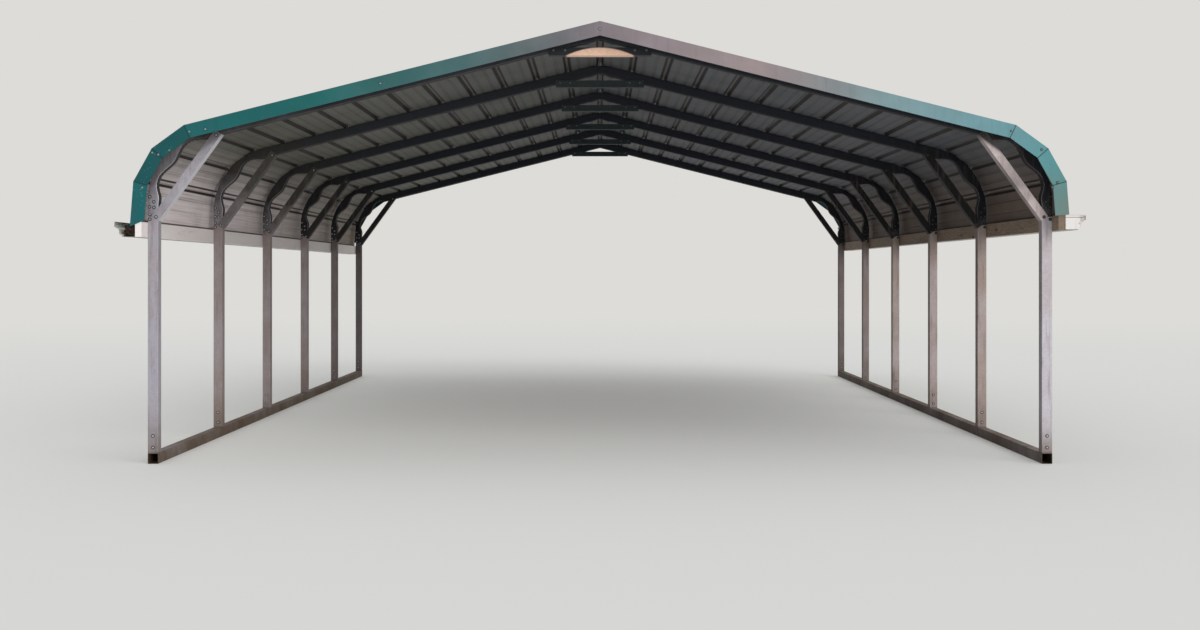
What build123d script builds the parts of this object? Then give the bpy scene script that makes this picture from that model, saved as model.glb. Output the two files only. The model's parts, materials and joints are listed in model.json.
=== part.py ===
from build123d import *
import os
from dataclasses import dataclass
from math import atan2, ceil, cos, degrees, radians, sin

# Open steel carport: six bent tube frames under ribbed sheets that fold down over both eaves.
# Millimetres. X runs across the gable, Y from the front gable to the rear one, Z up from the ground.
# The origin is on the ground at the middle of the plan. Gable sections are drawn in the XZ plane.

# Frames
FRAME_COUNT = 6
FRAME_SPACING = 1524.0
FRAME_WIDTH = 5440.0
SEAT = 0.3  # clearance between pieces that are screwed to one another

# Square tube of the rails, legs and bows
TUBE = 63.5
TUBE_WALL = 2.0
TUBE_CORNER = 4.0
LEG_LENGTH = 1422.0
SLEEVE_LENGTH = 150.0

# Bow: each eave has two bends, whose inner walls are crushed into ripples
ROOF_SLOPE = degrees(atan2(3, 12))
HAUNCH_SLOPE = 51.5
HAUNCH_LENGTH = 362.0
LOW_BEND_ABOVE_LEG = 226.5
EAVE_RADIUS = 260.0
RIDGE_RADIUS = 400.0
EAVE_CRUSH = 20.0
RIDGE_CRUSH = 8.0
CRUSH_REACH = 120.0
CRUSH_WAVES = 0.75
CRUSH_STEPS = 6
NECK_SHOWN = 30.0
NECK_DEPTH = 100.0

# Channel braces
BRACE_WALL = 2.0
BRACE_DEPTH = 48.0
KNEE_SLOPE = 54.0
KNEE_BELOW_LEG_TOP = 22.5
PEAK_BRACE_LENGTH = 620.0
PEAK_BRACE_DROP = 18.0

# Ribbed sheets
GABLE_OVERHANG = 120.65
SHEET = 1.2
RIB_PITCH = 228.6
SHEET_COUNT = 7
RIB_HEIGHT = 19.0
RIB_BASE = 48.0
RIB_CREST = 18.0
BEADS_PER_PAN = 2
BEAD_HEIGHT = 2.5
BEAD_BASE = 18.0
BEAD_CREST = 8.0
FOLD_MARGIN = 4.0
LAP_GAP = 0.5
UPPER_FOLD_SLOPE = 36.0
LOWER_FOLD_SLOPE = 61.0
LOWER_RUN_GAP = 20.0
EAVE_FOLD_GAP = 25.0
SKIRT_LENGTH = 247.0

# Gable trim: the left front toe runs on further, and its end is cut at a slant
TRIM = 1.2
TRIM_FACE = 82.0
TRIM_TOP = 60.0
TRIM_HEM = 10.0
TRIM_LAP = 12.0
TRIM_JOINT = 0.5
TOE = 192.0
LONG_TOE_INNER = 220.0
LONG_TOE_OUTER = 264.0

# Eave boards and gutters: the left ones hang lower than the right ones
BOARD_THICKNESS = 38.0
BOARD_HEIGHT = 89.0
RIGHT_BOARD_ABOVE_LEG_TOP = 6.5
LEFT_BOARD_ABOVE_LEG_TOP = -33.5
GUTTER = 1.2
GUTTER_HEIGHT = 89.0
GUTTER_FLOOR = 74.0
GUTTER_WIDTH = 123.0
GUTTER_LIP = 28.0
GUTTER_RETURN = 11.0
OGEE_FOOT = (93.0, 16.0)
OGEE_SHOULDER = (99.0, 45.0)
CAP_FLANGE = 12.0

# Values worked out from the driving sizes
HALF = FRAME_WIDTH / 2
LEG_X = HALF - TUBE / 2
LEG_TOP = TUBE + LEG_LENGTH
SLEEVE = TUBE - 2 * TUBE_WALL - 2 * SEAT
RAIL_LENGTH = (FRAME_COUNT - 1) * FRAME_SPACING + TUBE
ROOF_LENGTH = RAIL_LENGTH + 2 * GABLE_OVERHANG
FRAMES_Y = [(number - (FRAME_COUNT - 1) / 2) * FRAME_SPACING for number in range(FRAME_COUNT)]
RIGHT_BOARD_TOP = LEG_TOP + RIGHT_BOARD_ABOVE_LEG_TOP
LEFT_BOARD_TOP = LEG_TOP + LEFT_BOARD_ABOVE_LEG_TOP
GUTTER_X = HALF + BOARD_THICKNESS + 2 * SEAT


# Lines in the gable's plane


def direction(heading):
    """The unit vector at a heading in degrees, turned from +X towards +Z."""
    return Vector(cos(radians(heading)), 0, sin(radians(heading)))


def meet(point, heading, other_point, other_heading):
    """The point where two lines cross."""
    along = direction(heading)
    across = direction(other_heading + 90)
    return point + along * ((other_point - point).dot(across) / along.dot(across))


def mitre(before, after):
    """The offset at a corner between two unit normals that moves both lines by one unit."""
    return (before + after) / (1 + before.dot(after))


def slab(edges, front, depth):
    """A solid between two gable planes, from the edges of its outline."""
    return Pos(0, front, 0) * extrude(make_face(Curve() + edges), amount=depth, dir=(0, 1, 0))


def plate(points, front, depth):
    """A slab whose outline is straight between its points."""
    return slab([Polyline(*points, close=True)], front, depth)


def square_tube(length):
    """An upright length of the frame tube that stands on the origin."""
    bore = TUBE - 2 * TUBE_WALL
    return extrude(RectangleRounded(TUBE, TUBE, TUBE_CORNER) - Rectangle(bore, bore), amount=length)


def inner_tube(length):
    """An upright tube that slides into the frame tube."""
    bore = SLEEVE - 2 * TUBE_WALL
    return extrude(Rectangle(SLEEVE, SLEEVE) - Rectangle(bore, bore), amount=length)


# Base rails, legs and the sleeves inside the leg feet


def base_rail():
    """A tube that lies on the ground under all the legs of one side."""
    return Pos(LEG_X, -RAIL_LENGTH / 2, TUBE / 2) * Rot(-90, 0, 0) * square_tube(RAIL_LENGTH)


def leg(y):
    """A post on the base rail."""
    return Pos(LEG_X, y, TUBE) * square_tube(LEG_LENGTH)


def sleeve(y):
    """A short tube on the base rail, inside the foot of a leg."""
    return Pos(LEG_X, y, TUBE) * inner_tube(SLEEVE_LENGTH)


# Bows


@dataclass
class Bend:
    """A bend of the bow. The corner and the radius are those of its outer face."""

    corner: Vector
    entry: float
    exit: float
    radius: float
    crush: float

    def corner_at(self, depth):
        """The corner of the wall line at a depth below the outer face."""
        return self.corner + mitre(direction(self.entry + 90), direction(self.exit + 90)) * depth

    def wall_point(self, run, depth):
        """The point a run after the middle of the bend, along the wall line at a depth."""
        radius = self.radius - depth
        turn = radians(self.exit - self.entry)
        centre = self.corner_at(self.radius)
        swing = max(-turn / 2, min(turn / 2, run / radius))
        heading = (self.entry + self.exit) / 2 + degrees(swing)
        on_arc = centre - direction(heading + 90) * radius
        return on_arc + direction(heading) * (run - swing * radius)

    def crushed_wall(self, depth):
        """The rippled inner wall at a depth, from one straight to the next."""
        points = []
        for step in range(-CRUSH_STEPS, CRUSH_STEPS + 1):
            share = step / CRUSH_STEPS
            dent = self.crush * cos(radians(360 * CRUSH_WAVES * share)) * (1 - share**2)
            inner = self.wall_point(share * CRUSH_REACH, depth)
            tangent = self.wall_heading(share * CRUSH_REACH, depth)
            points.append(inner - direction(tangent + 90) * dent)
        return Polyline(*points)

    def wall_heading(self, run, depth):
        """The heading of the wall line at a run after the middle of the bend."""
        turn = self.exit - self.entry
        swing = max(-turn / 2, min(turn / 2, degrees(run / (self.radius - depth))))
        return (self.entry + self.exit) / 2 + swing


def bow_bends():
    """The five bends from the right leg over the ridge to the left leg."""
    low = Vector(HALF, 0, LEG_TOP + LOW_BEND_ABOVE_LEG)
    high = low + direction(180 - HAUNCH_SLOPE) * HAUNCH_LENGTH
    ridge = meet(high, 180 - ROOF_SLOPE, Vector(0, 0, 0), 90)
    corners = [low, high, ridge, Vector(-high.X, 0, high.Z), Vector(-low.X, 0, low.Z)]
    headings = [90, 180 - HAUNCH_SLOPE, 180 - ROOF_SLOPE, 180 + ROOF_SLOPE, 180 + HAUNCH_SLOPE, 270]
    radii = [EAVE_RADIUS, EAVE_RADIUS, RIDGE_RADIUS, EAVE_RADIUS, EAVE_RADIUS]
    crushes = [EAVE_CRUSH, EAVE_CRUSH, RIDGE_CRUSH, EAVE_CRUSH, EAVE_CRUSH]
    return [Bend(*values) for values in zip(corners, headings, headings[1:], radii, crushes)]


BENDS = bow_bends()
LOW_BEND, HIGH_BEND, RIDGE_BEND = BENDS[:3]
RIDGE = RIDGE_BEND.corner


def bow_outline(inset, foot):
    """The edges of the bow's section, every wall moved inwards by inset, down to the height of its feet."""
    depth = TUBE - inset
    outer = [Vector(HALF - inset, 0, foot)] + [bend.corner_at(inset) for bend in BENDS]
    outer += [Vector(inset - HALF, 0, foot)]
    edges = [FilletPolyline(*outer, radius=[bend.radius - inset for bend in BENDS])]
    walls = [bend.crushed_wall(depth) for bend in BENDS]
    stops = [Vector(HALF - depth, 0, foot)] + [wall @ end for wall in walls for end in (0, 1)]
    stops += [Vector(depth - HALF, 0, foot)]
    straights = [Line(stops[i], stops[i + 1]) for i in range(0, len(stops), 2)]
    closers = [Line(outer[0], stops[0]), Line(outer[-1], stops[-1])]
    return edges + walls + straights + closers


def bow(y):
    """A roof tube whose two ends narrow to necks, which go down into the legs."""
    shoulder = LEG_TOP + NECK_SHOWN
    tube = slab(bow_outline(0, shoulder), -TUBE / 2, TUBE)
    bore = slab(bow_outline(TUBE_WALL, shoulder + TUBE_WALL), TUBE_WALL - TUBE / 2, TUBE - 2 * TUBE_WALL)
    tube -= bore
    bore_size = SLEEVE - 2 * TUBE_WALL
    length = NECK_DEPTH + NECK_SHOWN
    for x in (LEG_X, -LEG_X):
        place = Pos(x, 0, LEG_TOP - NECK_DEPTH)
        tube += place * inner_tube(length)
        tube -= place * extrude(Rectangle(bore_size, bore_size), amount=length + TUBE_WALL)
    return Pos(0, y, 0) * tube


# Braces


def brace(start, heading, length, y):
    """A channel round the front and rear faces of a tube. Its web's tube side starts at a point."""
    along = direction(heading) * length
    rise = direction(heading - 90)
    foot = start - rise * BRACE_WALL
    lip = foot + rise * BRACE_DEPTH
    half = TUBE / 2 + SEAT
    web = plate([foot, foot + along, start + along, start], -half, 2 * half)
    flange = [foot, foot + along, lip + along, lip]
    sides = plate(flange, half, BRACE_WALL) + plate(flange, -half - BRACE_WALL, BRACE_WALL)
    return Pos(0, y, 0) * (web + sides)


def knee_brace(y):
    """A channel from the inner face of a leg to the underside of the bow."""
    foot = Vector(HALF - TUBE - SEAT, 0, LEG_TOP - KNEE_BELOW_LEG_TOP)
    heading = 180 - KNEE_SLOPE
    under = RIDGE_BEND.corner_at(TUBE + SEAT)
    head = meet(foot, heading, under, 180 - ROOF_SLOPE)
    return brace(foot, heading, (head - foot).length, y)


def peak_brace(y):
    """A level channel across the ridge bend, screwed through its flanges."""
    half = PEAK_BRACE_LENGTH / 2
    under = meet(RIDGE_BEND.corner_at(TUBE), -ROOF_SLOPE, Vector(half, 0, 0), 90)
    return brace(under - Vector(0, 0, PEAK_BRACE_DROP), 180, PEAK_BRACE_LENGTH, y)


# Roof line: the outer face of the bows, squared off by two folds and a skirt that stand off from them


def roof_corners():
    """The corners of the right half from the ridge to the foot of the skirt, and the run headings."""
    upper_point = HIGH_BEND.corner_at(EAVE_RADIUS) + direction(90 - UPPER_FOLD_SLOPE) * EAVE_RADIUS
    lower_reach = EAVE_RADIUS + LOWER_RUN_GAP
    lower_point = LOW_BEND.corner_at(EAVE_RADIUS) + direction(90 - LOWER_FOLD_SLOPE) * lower_reach
    upper_fold = meet(RIDGE, -ROOF_SLOPE, upper_point, -UPPER_FOLD_SLOPE)
    middle_fold = meet(upper_point, -UPPER_FOLD_SLOPE, lower_point, -LOWER_FOLD_SLOPE)
    eave_fold = meet(lower_point, -LOWER_FOLD_SLOPE, Vector(HALF + EAVE_FOLD_GAP, 0, 0), 90)
    outward = GUTTER_X + GUTTER - HALF - EAVE_FOLD_GAP
    skirt = -degrees(atan2(eave_fold.Z - RIGHT_BOARD_TOP, outward))
    foot = eave_fold + direction(skirt) * SKIRT_LENGTH
    headings = [-ROOF_SLOPE, -UPPER_FOLD_SLOPE, -LOWER_FOLD_SLOPE, skirt]
    return [RIDGE, upper_fold, middle_fold, eave_fold, foot], headings


CORNERS, RUN_HEADINGS = roof_corners()
STATIONS = [0.0]
for last, corner in zip(CORNERS, CORNERS[1:]):
    STATIONS.append(STATIONS[-1] + (corner - last).length)
FOLDS = STATIONS[1:-1]


def run_normal(index):
    """The outward normal of a run. The run before the first one is the left slope."""
    return direction(90 + ROOF_SLOPE if index < 0 else RUN_HEADINGS[index] + 90)


def roof_corner(index, height):
    """A corner of the roof line, moved outwards by a height."""
    return CORNERS[index] + mitre(run_normal(index - 1), run_normal(index)) * height


def on_roof(station, height):
    """The point at a distance down the roof line, moved outwards by a height."""
    if station in STATIONS[:-1]:
        return roof_corner(STATIONS.index(station), height)
    index = sum(fold < station for fold in FOLDS)
    foot = CORNERS[index] + direction(RUN_HEADINGS[index]) * (station - STATIONS[index])
    return foot + run_normal(index) * height


def clear_of_folds(station, half_base):
    """A station moved along, where a rib or bead on it would meet a fold."""
    reach = half_base + FOLD_MARGIN
    for fold in FOLDS:
        if abs(station - fold) < reach:
            return fold + reach if station > fold else fold - reach
    return station


RIB_TOTAL = ceil((STATIONS[-1] - RIB_BASE) / RIB_PITCH)
RIBS = [clear_of_folds(number * RIB_PITCH, RIB_BASE / 2) for number in range(RIB_TOTAL)]
SHEETS_BELOW = SHEET_COUNT // 2
RIDGE_SHARE = SHEET_COUNT / 2 - SHEETS_BELOW
LAPS = [round(RIB_TOTAL * (RIDGE_SHARE + number) * 2 / SHEET_COUNT) for number in range(SHEETS_BELOW)]


def raised(centre, base, crest, height):
    """The stations and heights of a rib or bead."""
    shape = [(-base / 2, 0), (-crest / 2, height), (crest / 2, height), (base / 2, 0)]
    return [(centre + offset, rise) for offset, rise in shape]


def half_sheet(first, lap):
    """Stations and heights from a rib's crest to the lap rib, or to the skirt's foot if lap is None."""
    start = RIBS[first]
    marks = [(start, RIB_HEIGHT), (start + RIB_CREST / 2, RIB_HEIGHT), (start + RIB_BASE / 2, 0)]
    last = RIB_TOTAL - 1 if lap is None else lap
    for number in range(first, RIB_TOTAL if lap is None else lap):
        after = RIBS[number + 1] if number < last else RIBS[number] + RIB_PITCH
        for bead in range(1, BEADS_PER_PAN + 1):
            middle = RIBS[number] + (after - RIBS[number]) * bead / (BEADS_PER_PAN + 1)
            marks += raised(clear_of_folds(middle, BEAD_BASE / 2), BEAD_BASE, BEAD_CREST, BEAD_HEIGHT)
    for number in range(first + 1, last + 1 if lap is None else last):
        marks += raised(RIBS[number], RIB_BASE, RIB_CREST, RIB_HEIGHT)
    if lap is None:
        marks.append((STATIONS[-1], 0))
    else:
        lift = SHEET + LAP_GAP
        end = RIBS[lap]
        marks += [(end - RIB_BASE / 2, 0), (end - RIB_CREST / 2, RIB_HEIGHT + lift)]
        marks += [(end + RIB_CREST / 2, RIB_HEIGHT + lift), (end + RIB_BASE / 2, lift)]
    marks += [(fold, 0) for fold in FOLDS if start < fold < marks[-1][0]]
    return sorted(marks)


def sheet(first, lap, ridge_sheet=False):
    """A ribbed sheet. The sheet nearer the ridge laps over the next one's first rib."""
    marks = half_sheet(first, lap)

    def edge(lift):
        points = [on_roof(station, SEAT + height + lift) for station, height in marks]
        if ridge_sheet:
            points = [Vector(-point.X, 0, point.Z) for point in reversed(points[1:])] + points
        return points

    return plate(edge(0) + edge(SHEET)[::-1], -ROOF_LENGTH / 2, ROOF_LENGTH)


def roof_sheets():
    """All sheets from the left eave to the right eave."""
    right = [sheet(first, lap) for first, lap in zip(LAPS, LAPS[1:] + [None])]
    left = [mirror(piece, about=Plane.YZ) for piece in reversed(right)]
    return left + [sheet(0, LAPS[0], ridge_sheet=True)] + right


# Gable trim

TRIM_UNDER = SEAT + RIB_HEIGHT + LAP_GAP + 2 * SHEET + SEAT
TRIM_OUTER = TRIM_UNDER + TRIM
TRIM_LOW = TRIM_OUTER - TRIM_FACE


def band(index, low, high, inset, toes=None):
    """A strip along one run between two heights. Toes are the skirt strip's lengths from its fold."""
    along = direction(RUN_HEADINGS[index])
    start = [roof_corner(index, height) + along * inset for height in (low, high)]
    if toes is None:
        end = [roof_corner(index + 1, height) - along * inset for height in (low, high)]
    else:
        heights = zip((low, high), toes)
        end = [CORNERS[index] + run_normal(index) * height + along * toe for height, toe in heights]
    return [start[0], start[1], end[1], end[0]]


def lapped_face(index, toes):
    """The face of a run that laps over its neighbours, bent with them."""
    start_low, start_high, end_high, end_low = band(index, TRIM_LOW, TRIM_OUTER, 0, toes)
    back = direction(RUN_HEADINGS[index - 1]) * TRIM_LAP
    points = [start_low - back, start_high - back, start_high, end_high]
    if toes is None:
        ahead = direction(RUN_HEADINGS[index + 1]) * TRIM_LAP
        points += [end_high + ahead, end_low + ahead]
    return points + [end_low, start_low]


def trim_run(index, toes=None):
    """The trim of one run on the right front: a face, a top flange over the ribs and a hem."""
    laps_over = index % 2 == 1
    front = -ROOF_LENGTH / 2 - SEAT - TRIM
    if laps_over:
        front -= TRIM + SEAT
        face = lapped_face(index, toes)
    else:
        face = band(index, TRIM_LOW, TRIM_OUTER, TRIM_JOINT / 2, toes)
    outer_toes = toes and (toes[1], toes[1])
    inner_toes = toes and (toes[0], toes[0])
    top = band(index, TRIM_UNDER, TRIM_OUTER, TRIM_JOINT, outer_toes)
    hem = band(index, TRIM_LOW, TRIM_LOW + TRIM, TRIM_JOINT, inner_toes)
    return plate(face, front, TRIM) + plate(top, front, TRIM_TOP) + plate(hem, front, TRIM_HEM)


def corner_trim(toes):
    """The two fold pieces and the skirt piece of the right front corner."""
    return [trim_run(1), trim_run(2), trim_run(3, toes)]


# Eave boards and gutters


def eave_board(top):
    """A board on the outer faces of the legs."""
    board = Box(BOARD_THICKNESS, ROOF_LENGTH, BOARD_HEIGHT, align=(Align.MIN, Align.CENTER, Align.MAX))
    return Pos(HALF + SEAT, 0, top) * board


def gutter_line(top):
    """The outside of the gutter's section, from the top of its back round to its turned-in lip."""
    corners = [(0, GUTTER_HEIGHT), (0, 0), (GUTTER_FLOOR, 0), OGEE_FOOT, OGEE_SHOULDER]
    corners += [(GUTTER_WIDTH, GUTTER_HEIGHT - GUTTER_LIP), (GUTTER_WIDTH, GUTTER_HEIGHT)]
    corners += [(GUTTER_WIDTH - GUTTER_RETURN, GUTTER_HEIGHT)]
    return [Vector(GUTTER_X + x, 0, top - GUTTER_HEIGHT + z) for x, z in corners]


def shift_line(points, distance):
    """An open line moved to its left by a distance."""
    headings = [degrees(atan2((b - a).Z, (b - a).X)) for a, b in zip(points, points[1:])]
    normals = [direction(heading + 90) for heading in headings]
    before = normals[:1] + normals
    after = normals + normals[-1:]
    return [point + mitre(n, m) * distance for point, n, m in zip(points, before, after)]


def ribbon(points, inset, first=0):
    """The outline of a sheet-metal strip, inset from a line, from one of its corners on."""
    return shift_line(points, inset)[first:] + shift_line(points, inset + GUTTER)[first:][::-1]


def gutter(top):
    """A trough along the eave, its back against the board."""
    return plate(ribbon(gutter_line(top), 0), -ROOF_LENGTH / 2, ROOF_LENGTH)


def gutter_cap(top):
    """The front end cap: a plate over the trough's end, with a flange inside the floor and the ogee."""
    line = gutter_line(top)
    front = -ROOF_LENGTH / 2 - SEAT - GUTTER
    flange = ribbon(line, GUTTER + SEAT, first=1)
    return plate(line, front, GUTTER) + plate(flange, front, GUTTER + CAP_FLANGE)


# Nodes


def save(name, *pieces):
    """Write one node, of one solid or several that don't touch."""
    solids = [solid for piece in pieces for solid in piece.solids()]
    export_step(Compound(solids), f"parts/{name}.step")


def left(piece):
    """The piece on the other side of the middle of the gable."""
    return mirror(piece, about=Plane.YZ)


def rear(piece):
    """The piece at the other gable."""
    return mirror(piece, about=Plane.XZ)


def main():
    """Build every node and write it to the parts folder."""
    os.makedirs("parts", exist_ok=True)

    save("base_rail_right", base_rail())
    save("base_rail_left", left(base_rail()))
    sleeves = [sleeve(y) for y in FRAMES_Y]
    save("rail_sleeves", *sleeves, *[left(piece) for piece in sleeves])
    for number, y in enumerate(FRAMES_Y, 1):
        save(f"leg_right_{number}", leg(y))
        save(f"leg_left_{number}", left(leg(y)))
        save(f"bow_{number}", bow(y))

    knees = [knee_brace(y) for y in FRAMES_Y]
    save("knee_braces_right", *knees)
    save("knee_braces_left", *[left(piece) for piece in knees])
    save("peak_braces", *[peak_brace(y) for y in FRAMES_Y])

    for number, piece in enumerate(roof_sheets(), 1):
        save(f"roof_sheet_{number}", piece)

    rake = trim_run(0)
    corner = corner_trim((TOE, TOE))
    long_corner = corner_trim((LONG_TOE_INNER, LONG_TOE_OUTER))
    save("front_rake_trim_right", rake)
    save("front_rake_trim_left", left(rake))
    save("rear_rake_trim_right", rear(rake))
    save("rear_rake_trim_left", left(rear(rake)))
    save("front_corner_trim_right", *corner)
    save("front_corner_trim_left", *[left(piece) for piece in long_corner])
    save("rear_corner_trim_right", *[rear(piece) for piece in corner])
    save("rear_corner_trim_left", *[left(rear(piece)) for piece in corner])

    save("eave_board_right", eave_board(RIGHT_BOARD_TOP))
    save("eave_board_left", left(eave_board(LEFT_BOARD_TOP)))
    save("gutter_right", gutter(RIGHT_BOARD_TOP))
    save("gutter_left", left(gutter(LEFT_BOARD_TOP)))
    right_cap = gutter_cap(RIGHT_BOARD_TOP)
    # The left gutter's front end has no cap
    save("gutter_end_caps", right_cap, rear(right_cap), left(rear(gutter_cap(LEFT_BOARD_TOP))))


main()
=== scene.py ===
import json
import logging
import math
import random
from collections.abc import Callable, Sequence
from dataclasses import dataclass, field
from enum import Enum
from functools import partial

import bmesh
import bpy
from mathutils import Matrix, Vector

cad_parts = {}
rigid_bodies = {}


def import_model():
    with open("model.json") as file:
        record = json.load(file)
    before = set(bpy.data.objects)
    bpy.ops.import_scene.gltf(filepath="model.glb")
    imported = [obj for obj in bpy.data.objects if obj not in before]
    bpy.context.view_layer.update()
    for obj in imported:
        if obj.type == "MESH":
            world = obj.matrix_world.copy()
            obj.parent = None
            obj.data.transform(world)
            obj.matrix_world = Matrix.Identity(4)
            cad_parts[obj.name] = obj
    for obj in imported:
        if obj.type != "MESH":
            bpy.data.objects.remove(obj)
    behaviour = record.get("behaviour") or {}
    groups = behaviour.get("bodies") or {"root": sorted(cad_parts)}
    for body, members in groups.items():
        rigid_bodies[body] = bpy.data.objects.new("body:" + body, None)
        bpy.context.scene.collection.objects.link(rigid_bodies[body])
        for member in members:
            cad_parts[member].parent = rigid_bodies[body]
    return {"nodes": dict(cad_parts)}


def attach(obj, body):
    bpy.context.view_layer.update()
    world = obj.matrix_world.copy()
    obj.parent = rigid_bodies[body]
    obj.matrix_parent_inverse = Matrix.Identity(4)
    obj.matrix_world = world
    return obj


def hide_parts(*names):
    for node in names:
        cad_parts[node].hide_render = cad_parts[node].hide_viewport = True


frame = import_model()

# Open steel carport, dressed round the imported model. Metres, in the model's frame:
# X across the gable, Y from the front gable to the rear one, Z up from the ground.

LOG = logging.getLogger("carport")
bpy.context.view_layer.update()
SEED = 11

Thing = bpy.types.Object
Socket = bpy.types.NodeSocket
Sockets = bpy.types.NodeOutputs
Node = Callable[..., Socket]


# Sizes that repeat those of the part


@dataclass(frozen=True)
class CarportSizes:
    """The part's sizes that the dressed pieces are built from, in metres and degrees."""

    frames: int = 6
    spacing: float = 1.524
    half: float = 2.720
    seat: float = 0.0003
    tube: float = 0.0635
    tube_corner: float = 0.004
    sleeve: float = 0.0589
    leg_top: float = 1.4855
    roof_slope: float = math.degrees(math.atan2(3, 12))
    haunch_slope: float = 51.5
    haunch_length: float = 0.362
    low_bend_above_leg: float = 0.2265
    eave_radius: float = 0.260
    ridge_radius: float = 0.400
    neck_shown: float = 0.030
    neck_depth: float = 0.100
    upper_fold_slope: float = 36.0
    lower_fold_slope: float = 61.0
    lower_run_gap: float = 0.020
    eave_fold_gap: float = 0.025
    skirt_length: float = 0.247
    sheet: float = 0.0012
    rib_pitch: float = 0.2286
    rib_height: float = 0.019
    rib_base: float = 0.048
    rib_crest: float = 0.018
    bead_base: float = 0.018
    bead_crest: float = 0.008
    fold_margin: float = 0.004
    lap_gap: float = 0.0005
    laps: tuple[int, ...] = (2, 6, 10)
    board_thickness: float = 0.038
    right_board_top: float = 1.492
    left_board_top: float = 1.452
    gutter: float = 0.0012
    gutter_floor: float = 0.074
    gutter_width: float = 0.123
    gutter_height: float = 0.089
    gable_y: float = 3.9624
    brace_wall: float = 0.002
    knee_slope: float = 54.0
    knee_below_leg_top: float = 0.0225
    peak_brace_length: float = 0.620
    peak_brace_drop: float = 0.018

    @property
    def frames_y(self) -> list[float]:
        """The places of the frames along the carport."""
        return [(number - (self.frames - 1) / 2) * self.spacing for number in range(self.frames)]

    @property
    def gutter_x(self) -> float:
        """The distance from the middle to the back of a gutter."""
        return self.half + self.board_thickness + 2 * self.seat

    @property
    def trim_outer(self) -> float:
        """The height of the trim's top flange above the roof line."""
        return self.seat * 2 + self.rib_height + self.lap_gap + 3 * self.sheet


SIZES = CarportSizes()


class Side(Enum):
    """The two sides of the carport, seen from the front gable."""

    LEFT = -1
    RIGHT = 1


# Lines in the gable's plane


def direction(heading: float) -> Vector:
    """The unit vector at a heading in degrees, turned from +X towards +Z."""
    return Vector((math.cos(math.radians(heading)), 0.0, math.sin(math.radians(heading))))


def meet(point: Vector, heading: float, other: Vector, other_heading: float) -> Vector:
    """The point where two lines cross.

    Args:
        point: a point of the first line.
        heading: the first line's heading in degrees.
        other: a point of the second line.
        other_heading: the second line's heading in degrees.

    Returns:
        The crossing.
    """
    along = direction(heading)
    across = direction(other_heading + 90)
    return point + along * ((other - point).dot(across) / along.dot(across))


def mitre(before: Vector, after: Vector) -> Vector:
    """The offset at a corner between two unit normals that moves both lines by one unit."""
    return (before + after) / (1 + before.dot(after))


def smoothstep(value: float) -> float:
    """A smooth ramp from 0 to 1."""
    share = max(0.0, min(1.0, value))
    return share * share * (3 - 2 * share)


@dataclass(frozen=True)
class Crush:
    """How the inner wall of a bent tube buckles: dips with bulges between them."""

    depth: float
    bulge: float
    pitch: float
    phase: float
    reach: float

    def dent(self, run: float) -> float:
        """How far the wall is pushed in.

        Args:
            run: the distance from the middle of the bend.

        Returns:
            The depth, which is negative where the wall bulges out.
        """
        wave = math.cos(2 * math.pi * (run / self.pitch - self.phase))
        level = (self.depth - self.bulge) / 2 + (self.depth + self.bulge) / 2 * wave
        return level * (1 - smoothstep((abs(run) / self.reach - 0.7) / 0.3))


@dataclass(frozen=True)
class Bend:
    """A bend of the bow. The corner and the radius are those of its outer face."""

    corner: Vector
    entry: float
    exit: float
    radius: float

    def corner_at(self, depth: float) -> Vector:
        """The corner of the wall line at a depth below the outer face."""
        return self.corner + mitre(direction(self.entry + 90), direction(self.exit + 90)) * depth

    def centre_point(self, run: float) -> tuple[Vector, float]:
        """A point of the tube's middle line.

        Args:
            run: the distance from the middle of the bend, along the inner wall.

        Returns:
            The point and the line's heading there.
        """
        inner = self.radius - SIZES.tube
        middle = self.radius - SIZES.tube / 2
        turn = math.radians(self.exit - self.entry)
        swing = max(-turn / 2, min(turn / 2, run / inner))
        heading = (self.entry + self.exit) / 2 + math.degrees(swing)
        on_arc = self.corner_at(self.radius) - direction(heading + 90) * middle
        return on_arc + direction(heading) * (run - swing * inner), heading


LOW_CORNER = Vector((SIZES.half, 0, SIZES.leg_top + SIZES.low_bend_above_leg))
HIGH_CORNER = LOW_CORNER + direction(180 - SIZES.haunch_slope) * SIZES.haunch_length
RIDGE_CORNER = meet(HIGH_CORNER, 180 - SIZES.roof_slope, Vector((0, 0, 0)), 90)
LOW_BEND = Bend(LOW_CORNER, 90, 180 - SIZES.haunch_slope, SIZES.eave_radius)
HIGH_BEND = Bend(HIGH_CORNER, 180 - SIZES.haunch_slope, 180 - SIZES.roof_slope, SIZES.eave_radius)
RIDGE_BEND = Bend(RIDGE_CORNER, 180 - SIZES.roof_slope, 180 + SIZES.roof_slope, SIZES.ridge_radius)


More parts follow.
